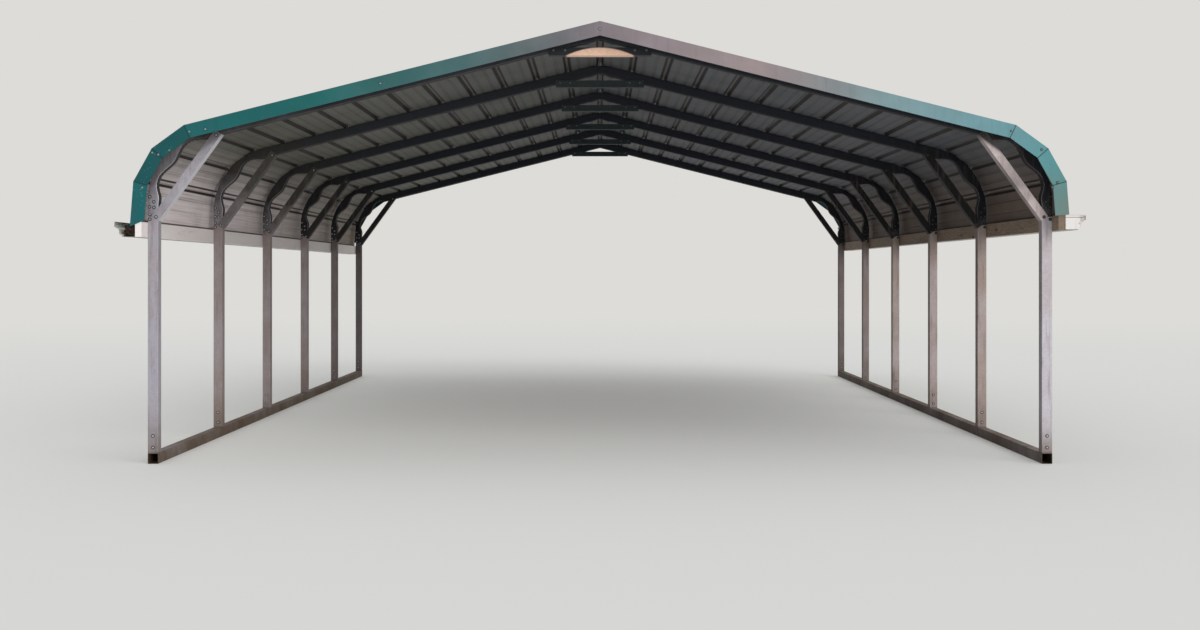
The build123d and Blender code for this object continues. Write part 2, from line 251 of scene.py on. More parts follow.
class RoofLine:
    """The line of the sheets in the gable's plane, from the ridge to the foot of the skirt."""

    slack: float = 0.03

    def __init__(self) -> None:
        """Work out the corners, the stations along the line and the ribs."""
        radius = SIZES.eave_radius
        upper = HIGH_BEND.corner_at(radius) + direction(90 - SIZES.upper_fold_slope) * radius
        reach = radius + SIZES.lower_run_gap
        lower = LOW_BEND.corner_at(radius) + direction(90 - SIZES.lower_fold_slope) * reach
        fold_x = SIZES.half + SIZES.eave_fold_gap
        upper_fold = meet(RIDGE_CORNER, -SIZES.roof_slope, upper, -SIZES.upper_fold_slope)
        middle_fold = meet(upper, -SIZES.upper_fold_slope, lower, -SIZES.lower_fold_slope)
        eave_fold = meet(lower, -SIZES.lower_fold_slope, Vector((fold_x, 0, 0)), 90)
        outward = SIZES.gutter_x + SIZES.gutter - fold_x
        skirt = -math.degrees(math.atan2(eave_fold.z - SIZES.right_board_top, outward))
        foot = eave_fold + direction(skirt) * SIZES.skirt_length
        self.corners = [RIDGE_CORNER, upper_fold, middle_fold, eave_fold, foot]
        self.headings = [-SIZES.roof_slope, -SIZES.upper_fold_slope, -SIZES.lower_fold_slope, skirt]
        self.stations = [0.0]
        for last, corner in zip(self.corners, self.corners[1:]):
            self.stations.append(self.stations[-1] + (corner - last).length)
        total = math.ceil((self.stations[-1] - SIZES.rib_base) / SIZES.rib_pitch)
        self.ribs = [self.clear_of_folds(number * SIZES.rib_pitch) for number in range(total)]

    def clear_of_folds(self, station: float) -> float:
        """Move a rib along where it would meet a fold.

        Args:
            station: the rib's station.

        Returns:
            The station where it's clear.
        """
        reach = SIZES.rib_base / 2 + SIZES.fold_margin
        for fold in self.stations[1:-1]:
            if abs(station - fold) < reach:
                return fold + reach if station > fold else fold - reach
        return station

    def run_at(self, station: float) -> int:
        """The number of the run that a station is on."""
        return sum(fold < station for fold in self.stations[1:-1])

    def normal(self, station: float) -> Vector:
        """The outward normal at a station."""
        return direction(self.headings[self.run_at(station)] + 90)

    def at(self, station: float, height: float) -> Vector:
        """A point above the line.

        Args:
            station: the distance down the line.
            height: how far the point is moved outwards.

        Returns:
            The point.
        """
        run = self.run_at(station)
        foot = self.corners[run] + direction(self.headings[run]) * (station - self.stations[run])
        return foot + self.normal(station) * height

    def nearest_run(self, point: Vector) -> int:
        """The run that a point lies on.

        Args:
            point: a point of the right half.

        Returns:
            The run's number.
        """
        found = []
        for number, heading in enumerate(self.headings):
            offset = point - self.corners[number]
            length = self.stations[number + 1] - self.stations[number]
            if -self.slack <= offset.dot(direction(heading)) <= length + self.slack:
                found.append((abs(offset.dot(direction(heading + 90))), number))
        return min(found)[1] if found else 0

    def station_of(self, point: Vector, run: int) -> float:
        """A point's distance down the line, measured along one run."""
        return self.stations[run] + (point - self.corners[run]).dot(direction(self.headings[run]))


ROOF = RoofLine()


# Node helpers

RANGE = "ShaderNodeMapRange"
MIX = "ShaderNodeMix"
NOISE = "ShaderNodeTexNoise"
VORONOI = "ShaderNodeTexVoronoi"
MAPPING = "ShaderNodeMapping"
SPLIT = "ShaderNodeSeparateXYZ"
COMBINE = "ShaderNodeCombineXYZ"
ATTRIBUTE = "ShaderNodeAttribute"
GEOMETRY = "ShaderNodeNewGeometry"
VECTOR = "ShaderNodeVectorMath"
RAMP = "ShaderNodeValToRGB"
BUMP = "ShaderNodeBump"
SHADER = "ShaderNodeBsdfPrincipled"
OUTPUT = "ShaderNodeOutputMaterial"
STORE = "GeometryNodeStoreNamedAttribute"
MOVE = "GeometryNodeSetPosition"
TRANSFORM = "GeometryNodeTransform"
NAMED = "GeometryNodeInputNamedAttribute"
USUAL = {MIX: {"data_type": "RGBA"}, STORE: {"data_type": "FLOAT", "domain": "FACE"}}


def linear(code: str) -> tuple[float, float, float, float]:
    """The linear colour of an sRGB hex code.

    Args:
        code: the code, such as "#7a8b9c".

    Returns:
        Red, green, blue and alpha.
    """
    parts = [int(code[place:place + 2], 16) / 255 for place in (1, 3, 5)]
    values = [part / 12.92 if part <= 0.04045 else ((part + 0.055) / 1.055) ** 2.4 for part in parts]
    return (values[0], values[1], values[2], 1.0)


def add(tree: bpy.types.NodeTree, kind: str, *inputs: object, out: str | None = None,
        stops: Sequence[tuple[float, str]] = (), **settings: object) -> Socket | None:
    """Add a node with its settings and links.

    Args:
        tree: the node tree.
        kind: the node's type name, or the operation of a math node.
        inputs: values, hex colours or sockets for the inputs in use, in their order. The last may
            be a dict of them by name, and a list stands for several links to one input.
        out: the name of the output wanted.
        stops: places from 0 to 1 and their hex colours, for a node that has a colour ramp.
        settings: the node's own properties.

    Returns:
        The wanted output, or the first one in use.
    """
    usual = {"operation": kind} if kind.isupper() else USUAL.get(kind, {})
    node = tree.nodes.new("ShaderNodeMath" if kind.isupper() else kind)
    for name, value in (usual | settings).items():
        setattr(node, name, value)
    sockets = [item for item in node.inputs if item.enabled]
    named = inputs[-1] if inputs and isinstance(inputs[-1], dict) else {}
    pairs = list(zip(sockets, inputs[:-1] if named else inputs))
    pairs += [(next(item for item in sockets if item.name == name), value) for name, value in named.items()]
    for socket, value in pairs:
        for each in value if isinstance(value, list) else [value]:
            if isinstance(each, Socket):
                tree.links.new(each, socket)
            elif isinstance(each, str) and each.startswith("#"):
                socket.default_value = linear(each)
            else:
                socket.default_value = each
    for number, (place, code) in enumerate(stops):
        elements = node.color_ramp.elements
        element = elements[number] if number < len(elements) else elements.new(place)
        element.position = place
        element.color = linear(code)
    outputs = [item for item in node.outputs if item.enabled and out in (None, item.name)]
    return outputs[0] if outputs else None


def new_material(name: str) -> tuple[bpy.types.Material, Node, Socket]:
    """An empty material.

    Args:
        name: the material's name.

    Returns:
        The material, what adds a node to its tree, and its Object coordinates.
    """
    material = bpy.data.materials.new(name)
    material.use_nodes = True
    material.node_tree.nodes.clear()
    node = partial(add, material.node_tree)
    return (material, node, node("ShaderNodeTexCoord", out="Object"))


# Finishes


@dataclass(frozen=True)
class Galvanised:
    """Roll-formed square tube or channel of hot-dip galvanised steel, weathered outdoors.

    Zinc dulls to a matt grey, so the metal shows as soft sheen under chalky patina. Its crystals
    are 8 to 12 mm wide. Under the roof, where no rain rinses it, dust and mildew settle on it, and
    the colour carries painted shade there, with painted light on the lit faces at the front and right.
    """

    name: str
    clean: str
    clean_right_light_and_shade: str
    grubby: str
    grubby_right_light_and_shade: str
    stain: str
    grime: float
    grime_low: float = -2.0
    grime_high: float = -1.0
    ends_grime: float = 0.0
    ends_grime_right: float = 0.0
    right_shade_rise: float = 0.0
    rear_dark: bool = False
    rear_darkening: float = 0.6
    painted_ridge_light: bool = False
    crushed: bool = False
    head_shadow_line: float = 1.848 + 2.460 * math.tan(math.radians(SIZES.upper_fold_slope))
    metallic: float = 0.35
    roughness: float = 0.52
    crystal: float = 0.010

    def make(self) -> bpy.types.Material:
        """Build the material.

        Returns:
            The material.
        """
        material, node, place = new_material(self.name)
        parts = node(SPLIT, place, out="Y").node.outputs
        right = node(RANGE, parts["X"], -0.5, 0.5)
        if self.rear_dark:
            # Deeper under the roof the left side gets painted shade, as dark as the right one
            deep_shade = node(RANGE, parts["Y"], -3.5, 0.6, 0, 0.85)
            right = node("MAXIMUM", right, deep_shade)
        # Painted shade under the roof, with dust and mildew, darkens upwards and starts lower on the right
        # side
        level = node("MULTIPLY_ADD", right, self.right_shade_rise, parts["Z"])
        high = node(RANGE, level, self.grime_low, self.grime_high)
        # The front frame stands in the rain and stays cleaner, and it gets less painted shade, being lit
        ends = node(RANGE, right, 0, 1, self.ends_grime, self.ends_grime_right)
        under_roof_share = node("MULTIPLY", node(RANGE, parts["Y"], -3.7, -2.9, ends), high)
        blotch = node(NOISE, place, 3.2, 7.0, 0.62)
        runs = node(NOISE, node(MAPPING, place, {"Scale": (46, 46, 3.5)}), 1.0, 5.0, 0.6)
        crystal = node(VORONOI, place, 1 / self.crystal, out="Color")
        crystal = node("ShaderNodeSeparateColor", crystal, out="Red")
        crystal = node(RANGE, crystal, 0, 1, 0.94, 1.05)
        dirt_and_shade = node(RANGE, blotch, 0.38, 0.68)
        cover = node("MULTIPLY_ADD", under_roof_share, self.grime, 0.12)
        dirt_and_shade = node("MULTIPLY_ADD", dirt_and_shade, 0.45, cover, use_clamp=True)
        # On the right side the colours carry painted light and shade: the legs lighter, the bows darker
        zinc = node(MIX, right, self.clean, self.clean_right_light_and_shade)
        dust = node(MIX, right, self.grubby, self.grubby_right_light_and_shade)
        line = node(RANGE, runs, 0.52, 0.78, 0, 0.75)
        # Darker towards the rear end, most on its last two frames
        rear = node(RANGE, parts["Y"], 1.0, 3.0, 0, self.rear_darkening)
        # Soil splashed up by rain, and the first rust, on the lowest 300 mm and most of all on the rails
        low = node(RANGE, parts["Z"], 0.32, 0.02)
        lying = node(RANGE, parts["Z"], 0.075, 0.062, 0, 0.38)
        splash = node("MULTIPLY_ADD", low, blotch, lying, use_clamp=True)
        # Painted shade on the right side's faces that are turned from the light
        turned = node(SPLIT, node(GEOMETRY, out="Normal"), out="X")
        turned = node("MULTIPLY", node(RANGE, turned, -0.5, -0.9, 0, 0.5), right)
        base = zinc
        for factor, colour in ((dirt_and_shade, dust), (line, self.stain), (rear, "#37363a"), (splash, "#5f4d3b"),
                               (turned, "#2f2b33")):
            base = node(MIX, factor, base, colour)
        # Painted sunlight and shadow on the braces
        if self.painted_ridge_light:
            base = self.ridge_light_and_shadow(node, parts, base)
        if self.crushed:
            # Painted shade under the ridge, with some mildew, so the slopes are darkest
            ridge_shade_and_mildew = node(RANGE, parts["Z"], 1.92, 2.15, 0, 0.85)
            # Painted shade on the crushed inner wall, and a painted highlight along its two corners
            inner_wall_shade = node("MULTIPLY", node(ATTRIBUTE, out="Fac", attribute_name="inner_wall"), 0.85)
            worn = node(ATTRIBUTE, out="Fac", attribute_name="inner_corner")
            clear = node(RANGE, parts["Z"], 1.95, 1.65, 0.1, 0.85)
            for factor in (clear, node(RANGE, right, 0, 1, 1.0, 0.25)):
                worn = node("MULTIPLY", worn, factor)
            for factor, colour in ((ridge_shade_and_mildew, "#2e343d"), (inner_wall_shade, "#2b2629"), (worn, "#e6e3ec")):
                base = node(MIX, factor, base, colour)
        base = node(MIX, 1.0, base, crystal, blend_type="MULTIPLY")
        rough = node(RANGE, dirt_and_shade, 0, 1, self.roughness, 0.82)
        grit = node(NOISE, place, 420.0, 2.0)
        bump = node(BUMP, {"Strength": 0.25, "Distance": 0.0006, "Height": grit})
        surface = node(SHADER, {"Base Color": base, "Metallic": self.metallic, "Roughness": rough,
                                "Normal": bump})
        node(OUTPUT, surface)
        return material

    def ridge_light_and_shadow(self, node: Node, parts: Sockets, base: Socket) -> Socket:
        """Painted light and shade on the braces: a warm sun patch on the front ridge brace under the trim's
        shadow.

        Args:
            node: what adds a node to the material's tree.
            parts: the X, Y and Z of the object coordinates.
            base: the colour under the painted light and shade.

        Returns:
            The colour with painted light and shade.
        """
        front = node(RANGE, parts["Y"], -3.7, -3.76)
        peak = node(RANGE, parts["Z"], 2.3, 2.34)
        under = RIDGE_BEND.corner_at(SIZES.tube).z
        across = node("ABSOLUTE", parts["X"])
        arch = node("MULTIPLY_ADD", node("MULTIPLY", across, across), 1.15, parts["Z"])
        # A painted warm sun patch on the front ridge brace, with the trim's painted shadow above it
        trim_shadow = node(RANGE, arch, under - 0.054, under - 0.047)
        sun_patch = node(MIX, trim_shadow, "#fdd5bb", "#2b2d32")
        # Painted shade on the tops of all the ridge braces
        base = node(MIX, node("MULTIPLY", peak, 0.75), base, "#3c4a4c")
        base = node(MIX, node("MULTIPLY", front, peak), base, sun_patch)
        # Painted shadow of the roof's edge on the heads of the front knee braces, the right one more
        tilt = math.tan(math.radians(SIZES.upper_fold_slope))
        rise = node("MULTIPLY_ADD", across, tilt, parts["Z"])
        sooty = node(RANGE, rise, self.head_shadow_line - 0.02, self.head_shadow_line)
        share = node(RANGE, parts["X"], -0.5, 0.5, 0.35, 0.88)
        wide = node("GREATER_THAN", across, 1.0)
        for factor in (front, share, wide):
            sooty = node("MULTIPLY", sooty, factor)
        base = node(MIX, sooty, base, "#1f1c20")
        # A painted highlight on the web of the left front knee brace
        facing = node("ABSOLUTE", node(SPLIT, node(GEOMETRY, out="Normal"), out="Y"))
        web_highlight = node("LESS_THAN", facing, 0.5)
        left = node("LESS_THAN", parts["X"], 0.0)
        for factor in (front, wide, left, 0.75, node("SUBTRACT", 1.0, sooty)):
            web_highlight = node("MULTIPLY", web_highlight, factor)
        return node(MIX, web_highlight, base, "#f2eff6")


@dataclass(frozen=True)
class RoofTop:
    """Outer face of coil-coated steel sheet: baked green polyester that has chalked and faded."""

    name: str = "chalked_green_coil_coating"
    paint: str = "#2f6b60"
    faded: str = "#4f8278"
    dust: str = "#7d8a72"

    def make(self) -> bpy.types.Material:
        """Build the material.

        Returns:
            The material.
        """
        material, node, place = new_material(self.name)
        fade = node(NOISE, place, 1.1, 6.0, 0.6)
        # Rain carries dust down the slope, so streaks run across the ribs
        streak = node(NOISE, node(MAPPING, place, {"Scale": (1.2, 16, 1.2)}), 1.0, 6.0, 0.65)
        base = node(RAMP, fade, stops=[(0.3, self.paint), (0.72, self.faded)])
        line = node(RANGE, streak, 0.5, 0.8, 0, 0.6)
        base = node(MIX, line, base, self.dust)
        speck = node(RANGE, node(VORONOI, place, 55.0), 0.16, 0.1, 0, 0.7)
        base = node(MIX, speck, base, "#5d5a40")
        bump = node(BUMP, {"Strength": 0.35, "Distance": 0.004, "Height": node(NOISE, place, 5.0, 1.0)})
        surface = node(SHADER, {"Base Color": base, "Roughness": 0.5, "Normal": bump, "Coat Weight": 0.1})
        node(OUTPUT, surface)
        return material


@dataclass(frozen=True)
class RoofBacker:
    """Inner face of the coil-coated sheet: thin off-white backer coat, dulled by dust and mildew.

    Painted light keeps the left skirt pale, brightest at the front. Painted shade darkens the slopes,
    the right half most, and with some dirt the right skirt. Painted shade, with some grime, lines the
    bent edges of the ribs and the tops of the eave boards, and the rib crests get a faint painted highlight.
    """

    name: str = "off_white_backer_coat"
    washed: str = "#fdf0f0"
    worn: str = "#a3968a"
    sooty: str = "#65655b"
    damp: str = "#50535a"
    brown: str = "#695950"
    grime: str = "#211815"
    board_shadow_gap: float = 0.007

    def make(self) -> bpy.types.Material:
        """Build the material.

        Returns:
            The material.
        """
        material, node, place = new_material(self.name)
        parts = node(SPLIT, place, out="X").node.outputs
        cloud = node(NOISE, place, 2.2, 8.0, 0.62)
        # Painted shade on the slopes, darkest on the right half
        slope = node(RANGE, node("MULTIPLY_ADD", cloud, 1.4, parts["X"]), -1.6, 1.6)
        base = node(MIX, slope, self.sooty, self.damp)
        low = node(RANGE, parts["Z"], 2.06, 1.6, interpolation_type="SMOOTHSTEP")
        side = node(RANGE, parts["X"], -1.0, 1.0)
        # Painted light on the left skirt, brightest at the front, and painted shade with some dirt on the
        # right one
        far = node(RANGE, parts["Y"], -2.2, 3.2)
        pale = node(MIX, far, self.washed, self.worn)
        skirt = node(MIX, side, pale, self.brown)
        base = node(MIX, low, base, skirt)
        # Roll marks and dust lie along the sheets
        rolled = node(NOISE, node(MAPPING, place, {"Scale": (70, 1.1, 70)}), 1.0, 5.0, 0.62)
        line = node(RANGE, rolled, 0.42, 0.72, 0, 0.36)
        blotch = node(RANGE, cloud, 0.5, 0.75, 0, 0.28)
        # A faint painted highlight on the rib crests
        half = SIZES.rib_crest / 2
        crest = node("ABSOLUTE", node(ATTRIBUTE, out="Fac", attribute_name="from_rib"))
        crest = node(RANGE, crest, half, half - 0.002, 0, 0.1)
        # Painted shade with some grime on the rib flanks, and a painted shadow along the board tops
        for factor, colour in (
                (line, "#5c5549"), (blotch, "#3c4237"), (crest, self.worn),
                (self.bent_edges(node), self.grime), (self.board_line(node, parts), self.grime)):
            base = node(MIX, factor, base, colour)
        rough = node(RANGE, cloud, 0, 1, 0.55, 0.8)
        bump = node(BUMP, {"Strength": 0.25, "Distance": 0.0015, "Height": rolled})
        surface = node(SHADER, {"Base Color": base, "Roughness": rough, "Normal": bump,
                                "Specular IOR Level": 0.3})
        node(OUTPUT, surface)
        return material

    @staticmethod
    def bent_edges(node: Node) -> Socket:
        """How much painted shade, with some grime, lies on the bent flanks of the ribs and beads.

        Args:
            node: what adds a node to the material's tree.

        Returns:
            The share from 0 to 1.
        """
        offset = node("ABSOLUTE", node(ATTRIBUTE, out="Fac", attribute_name="from_rib"))
        flanks = []
        bead = SIZES.rib_pitch / 3
        for centre, crest, foot, amount in ((0.0, SIZES.rib_crest / 2, SIZES.rib_base / 2, 0.95),
                                            (bead, SIZES.bead_crest / 2, SIZES.bead_base / 2, 0.28)):
            far = node("ABSOLUTE", node("SUBTRACT", offset, centre))
            inner = node(RANGE, far, crest - 0.003, crest, 0, amount)
            flanks.append(node("MULTIPLY", inner, node(RANGE, far, foot + 0.004, foot)))
        return node("MAXIMUM", *flanks)

    def board_line(self, node: Node, parts: Sockets) -> Socket:
        """A painted shadow line on the skirt, along the top of each eave board.

        Args:
            node: what adds a node to the material's tree.
            parts: the X, Y and Z of the object coordinates.

        Returns:
            The share of painted shadow from 0 to 1.
        """
        right = node("GREATER_THAN", parts["X"], 0.0)
        top = node(RANGE, right, 0, 1, SIZES.left_board_top + self.board_shadow_gap,
                   SIZES.right_board_top + self.board_shadow_gap)
        far = node("ABSOLUTE", node("SUBTRACT", parts["Z"], top))
        return node(RANGE, far, self.board_shadow_gap + 0.003, self.board_shadow_gap, 0, 0.85)


@dataclass(frozen=True)
class TrimPaint:
    """Folded trim of coil-coated steel in deep teal, with painted light towards the ridge and right.

    Painted low sunlight greys the teal near the ridge and painted sky reflection pales it on the
    right, and chalk has taken most of its gloss. The right-hand toe, where the roof drips, has grey
    and green streaks. Dirt marks the edge of every lap.
    """

    name: str = "teal_trim_coating"
    seam_width: float = 0.0036

    def make(self) -> bpy.types.Material:
        """Build the material.

        Returns:
            The material.
        """
        material, node, place = new_material(self.name)
        parts = node(SPLIT, place, out="X").node.outputs
        cloud = node(NOISE, place, 2.4, 6.0, 0.6)
        # Painted light: low sun greys the teal near the ridge, and sky reflection pales it on the right
        side = node(RANGE, node("MULTIPLY_ADD", cloud, 0.35, parts["X"]), -2.62, 2.98)
        base = node(RAMP, side, stops=[(0.0, "#166064"), (0.2, "#1b6462"), (0.36, "#48696a"),
                                       (0.5, "#877d82"), (0.68, "#998a8b"), (0.8, "#7f989c"),
                                       (0.91, "#75a2aa"), (1.0, "#4f8d90")])
        patch = node(RANGE, cloud, 0.3, 0.7, 0.86, 1.14)
        base = node(MIX, 1.0, base, patch, blend_type="MULTIPLY")
        runs = node(NOISE, node(MAPPING, place, {"Scale": (34, 34, 2.5)}), 1.0, 5.0, 0.65)
        line = node(RANGE, runs, 0.5, 0.85, 0, 0.25)
        base = node(MIX, line, base, "#4f5c56")
        toe = node(RANGE, parts["Z"], 1.8, 1.56)
        for factor in (node(RANGE, parts["X"], 2.55, 2.72), runs, 1.3):
            toe = node("MULTIPLY", toe, factor, use_clamp=True)
        base = node(MIX, toe, base, "#7b7f72")
        # Pale droppings and splashes on the left-hand corner
        spot = node(RANGE, node(VORONOI, place, 60.0), 0.17, 0.12, 0, 0.8)
        left = node("MULTIPLY", node(RANGE, parts["X"], -2.35, -2.5), cloud)
        spot = node("MULTIPLY", spot, node(RANGE, left, 0.52, 0.6))
        base = node(MIX, spot, base, "#9cb3a8")
        base = self.seams(node, parts, base)
        bump = node(BUMP, {"Strength": 0.3, "Distance": 0.003, "Height": node(NOISE, place, 7.0, 1.0)})
        surface = node(SHADER, {"Base Color": base, "Roughness": 0.5, "Normal": bump,
                                "Specular IOR Level": 0.2})
        node(OUTPUT, surface)
        return material

    def seams(self, node: Node, parts: Sockets, base: Socket) -> Socket:
        """A thin line of dirt along the lap at each fold, on both sides of both gables.

        Args:
            node: what adds a node to the material's tree.
            parts: the X, Y and Z of the object coordinates.
            base: the colour under the dirt.

        Returns:
            The colour with the dirt.
        """
        across = node("ABSOLUTE", parts["X"])
        past = []
        for number, corner in enumerate(ROOF.corners[1:4]):
            normal = direction((ROOF.headings[number] + ROOF.headings[number + 1]) / 2)
            far = node("MULTIPLY_ADD", across, normal.x, -corner.dot(normal))
            far = node("MULTIPLY_ADD", parts["Z"], normal.z, far)
            past.append(node("GREATER_THAN", far, 0.0))
            near = node(RANGE, node("ABSOLUTE", far), self.seam_width, self.seam_width / 2, 0, 0.85)
            base = node(MIX, near, base, "#12302f")
        # The two short pieces on the left get painted shade, a little darker
        short_pieces_shade = node("SUBTRACT", past[0], past[2])
        short_pieces_shade = node("MULTIPLY", short_pieces_shade, node(RANGE, parts["X"], -0.5, 0.5, 0.34, 0.0))
        return node(MIX, short_pieces_shade, base, "#0c2a2b")


@dataclass(frozen=True)
class BoardWood:
    """Sawn softwood board, painted or left bare.

    Growth rings 3 to 5 mm apart run along the board, with knots 20 to 30 mm wide. Paint fills
    most of the grain and has flaked in places. Bare wood has greyed and stained.
    """

    name: str
    wood: str
    grain: str
    paint: str
    paint_cover: float
    ring: float = 0.004
    knot_spacing: float = 0.42

    def make(self) -> bpy.types.Material:
        """Build the material.

        Returns:
            The material.
        """
        material, node, place = new_material(self.name)
        along = node(MAPPING, place, {"Scale": (1 / self.ring / 8, 1.6, 1 / self.ring / 8)})
        knots = node(VORONOI, node(MAPPING, place, {"Scale": (9.0, 1 / self.knot_spacing, 9.0)}), 1.0)
        knot = node(RANGE, knots, 0.12, 0.04)
        grain = node(NOISE, along, 6.0, 8.0, 0.6, {"Distortion": 0.6})
        base = node(RAMP, grain, stops=[(0.32, self.grain), (0.62, self.wood)])
        base = node(MIX, knot, base, "#3d2a1c")
        stain = node(NOISE, node(MAPPING, place, {"Scale": (4, 1.1, 9)}), 1.0, 6.0, 0.6)
        wet = node(RANGE, stain, 0.5, 0.75, 0, 0.55)
        base = node(MIX, wet, base, "#4a3e33")
        flaked = node("MULTIPLY_ADD", grain, 0.35, stain)
        sun_patch = node(RANGE, flaked, 0.92, 0.82, 0, self.paint_cover)
        coat = node(MIX, wet, self.paint, "#f4e4dc")
        base = node(MIX, sun_patch, base, coat)
        bump = node(BUMP, {"Strength": 0.5, "Distance": 0.001, "Height": grain})
        surface = node(SHADER, {"Base Color": base, "Roughness": 0.78, "Normal": bump})
        node(OUTPUT, surface)
        return material


@dataclass(frozen=True)
class GutterEnamel:
    """Roll-formed aluminium gutter with white baked enamel, marked by drips and leaf tannin."""

    name: str = "white_gutter_enamel"
    enamel: str = "#ece6e1"
    drip: str = "#8f887a"
    tannin: str = "#6e4a2e"

    def make(self) -> bpy.types.Material:
        """Build the material.

        Returns:
            The material.
        """
        material, node, place = new_material(self.name)
        runs = node(NOISE, node(MAPPING, place, {"Scale": (30, 22, 3)}), 1.0, 6.0, 0.65)
        line = node(RANGE, runs, 0.48, 0.8, 0, 0.6)
        base = node(MIX, line, self.enamel, self.drip)
        parts = node(SPLIT, place, out="X").node.outputs
        out = node("ABSOLUTE", parts["X"])
        end = node("ABSOLUTE", parts["Y"])
        base = self.creases(node, parts, out, base)
        spot = node(RANGE, node(VORONOI, place, 38.0), 0.2, 0.12, 0, 0.8)
        spot = node("MULTIPLY", spot, node(RANGE, node(NOISE, place, 6.0, 2.0), 0.55, 0.66))
        # Tannin gathers where the caps' noses drip
        nose = node(RANGE, out, SIZES.gutter_x + 0.07, SIZES.gutter_x + 0.105)
        drips = node(RANGE, node(NOISE, place, 70.0, 2.0), 0.5, 0.58, 0, 0.85)
        for factor in (node(RANGE, end, 3.945, 3.955), drips):
            nose = node("MULTIPLY", nose, factor)
        for factor in (nose, spot):
            base = node(MIX, factor, base, self.tannin)
        rough = node(RANGE, line, 0, 1, 0.32, 0.7)
        surface = node(SHADER, {"Base Color": base, "Roughness": rough, "Coat Weight": 0.1})
        node(OUTPUT, surface)
        return material

    def creases(self, node: Node, parts: Sockets, out: Socket, base: Socket) -> Socket:
        """Lines of painted shade, with some grime, under the lip, along the floor's edge and against the
        board.

        Args:
            node: what adds a node to the material's tree.
            parts: the X, Y and Z of the object coordinates.
            out: the distance from the carport's middle.
            base: the colour under the lines.

        Returns:
            The colour with the lines.
        """
        right = node("GREATER_THAN", parts["X"], 0.0)
        top = node(RANGE, right, 0, 1, SIZES.left_board_top, SIZES.right_board_top)
        down = node("SUBTRACT", top, parts["Z"])
        # Painted shade, with some grime, under the lip, at the floor's edge and against the board
        for value, level, half, amount in (
                (down, 0.0135, 0.0024, 0.85), (down, SIZES.gutter_height, 0.0050, 0.9),
                (down, 0.0, 0.0026, 0.7), (out, SIZES.gutter_x, 0.0050, 0.9)):
            far = node("ABSOLUTE", node("SUBTRACT", value, level))
            base = node(MIX, node(RANGE, far, half, half / 2, 0, amount), base, "#3f3831")
        return base


@dataclass(frozen=True)
class ZincScrew:
    """Self-drilling hex screw of zinc-plated carbon steel, with a black rubber seal under its washer.

    The plating is bright with a faint bluish film. The heads on the roof are painted.
    """

    name: str
    colour: str = "#d3dadb"
    metallic: float = 0.6
    shank: str = "#dcdcdc"
    rubber: str = "#1b1a19"
    right_shade: float = 0.0

    def make(self) -> bpy.types.Material:
        """Build the material.

        Returns:
            The material.
        """
        material, node, place = new_material(self.name)
        wear = node(NOISE, place, 160.0, 3.0)
        dull = node("MULTIPLY", wear, 0.5)
        base = node(MIX, dull, self.colour, "#80888a")
        # Painted shade on the screws of the right side, most of all up under the roof
        parts = node(SPLIT, place, out="X").node.outputs
        side = node(RANGE, parts["X"], 0.5, 1.5, 0, self.right_shade)
        side = node("MULTIPLY", side, node(RANGE, parts["Z"], 0.8, 1.2, 0.2))
        sealed, driven = (node(ATTRIBUTE, out="Fac", attribute_name=name) for name in ("seal", "shank"))
        for factor, colour in ((side, "#2c2b2c"), (driven, self.shank), (sealed, self.rubber)):
            base = node(MIX, factor, base, colour)
        metal = node(RANGE, sealed, 0, 1, self.metallic, 0.0)
        rough = node(RANGE, wear, 0, 1, 0.3, 0.55)
        surface = node(SHADER, {"Base Color": base, "Metallic": metal, "Roughness": rough})
        node(OUTPUT, surface)
        return material


@dataclass(frozen=True)
class LeafLitter:
    """Dead leaves, half rotted: matt brown, each a little different."""

    name: str = "rotting_leaves"
    dark: str = "#140e0a"
    light: str = "#5c4432"

    def make(self) -> bpy.types.Material:
        """Build the material.

        Returns:
            The material.
        """
        material, node, place = new_material(self.name)
        tone = node(NOISE, place, 62.0, 5.0, 0.65)
        base = node(RAMP, tone, stops=[(0.42, self.dark), (0.68, self.light)])
        bump = node(BUMP, {"Strength": 0.6, "Distance": 0.001, "Height": tone})
        surface = node(SHADER, {"Base Color": base, "Roughness": 0.9, "Normal": bump})
        node(OUTPUT, surface)
        return material


# Objects and Geometry Nodes


def new_object(name: str, data: bpy.types.ID) -> Thing:
    """A new object in the scene.

    Args:
        name: the object's name.
        data: its mesh, lamp or camera.

    Returns:
        The object.
    """
    obj = bpy.data.objects.new(name, data)
    bpy.context.scene.collection.objects.link(obj)
    return obj


def bake(obj: Thing, body: str) -> Thing:
    """Turn an object and its live modifiers into a plain mesh that rides on a body.

    Args:
        obj: the object.
        body: the body's name.

    Returns:
        The same object.
    """
    graph = bpy.context.evaluated_depsgraph_get()
    mesh = bpy.data.meshes.new_from_object(obj.evaluated_get(graph))
    obj.modifiers.clear()
    obj.data = mesh
    mesh.name = obj.name
    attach(obj, body)
    return obj


def point_mesh(name: str, points: Sequence[Vector], edges: Sequence[tuple[int, int]] = (),
               **values: Sequence[Vector] | Sequence[float]) -> Thing:
    """An object of bare points that carry values for a tree.

    Args:
        name: the object's name.
        points: the points.
        edges: the pairs of points that are joined.
        values: a vector or a number for each point, by attribute name.

    Returns:
        The object.
    """
    mesh = bpy.data.meshes.new(name)
    mesh.from_pydata(points, edges, [])
    for label, each in values.items():
        if isinstance(each[0], Vector):
            flat = [part for value in each for part in value]
            mesh.attributes.new(label, "FLOAT_VECTOR", "POINT").data.foreach_set("vector", flat)
        else:
            mesh.attributes.new(label, "FLOAT", "POINT").data.foreach_set("value", each)
    return new_object(name, mesh)


def set_finish(obj: Thing, material: bpy.types.Material) -> None:
    """Give a CAD node its finish, without touching its mesh.

    Args:
        obj: the node.
        material: its finish.
    """
    if not obj.material_slots:
        obj.data.materials.append(material)
    for slot in obj.material_slots:
        slot.material = material


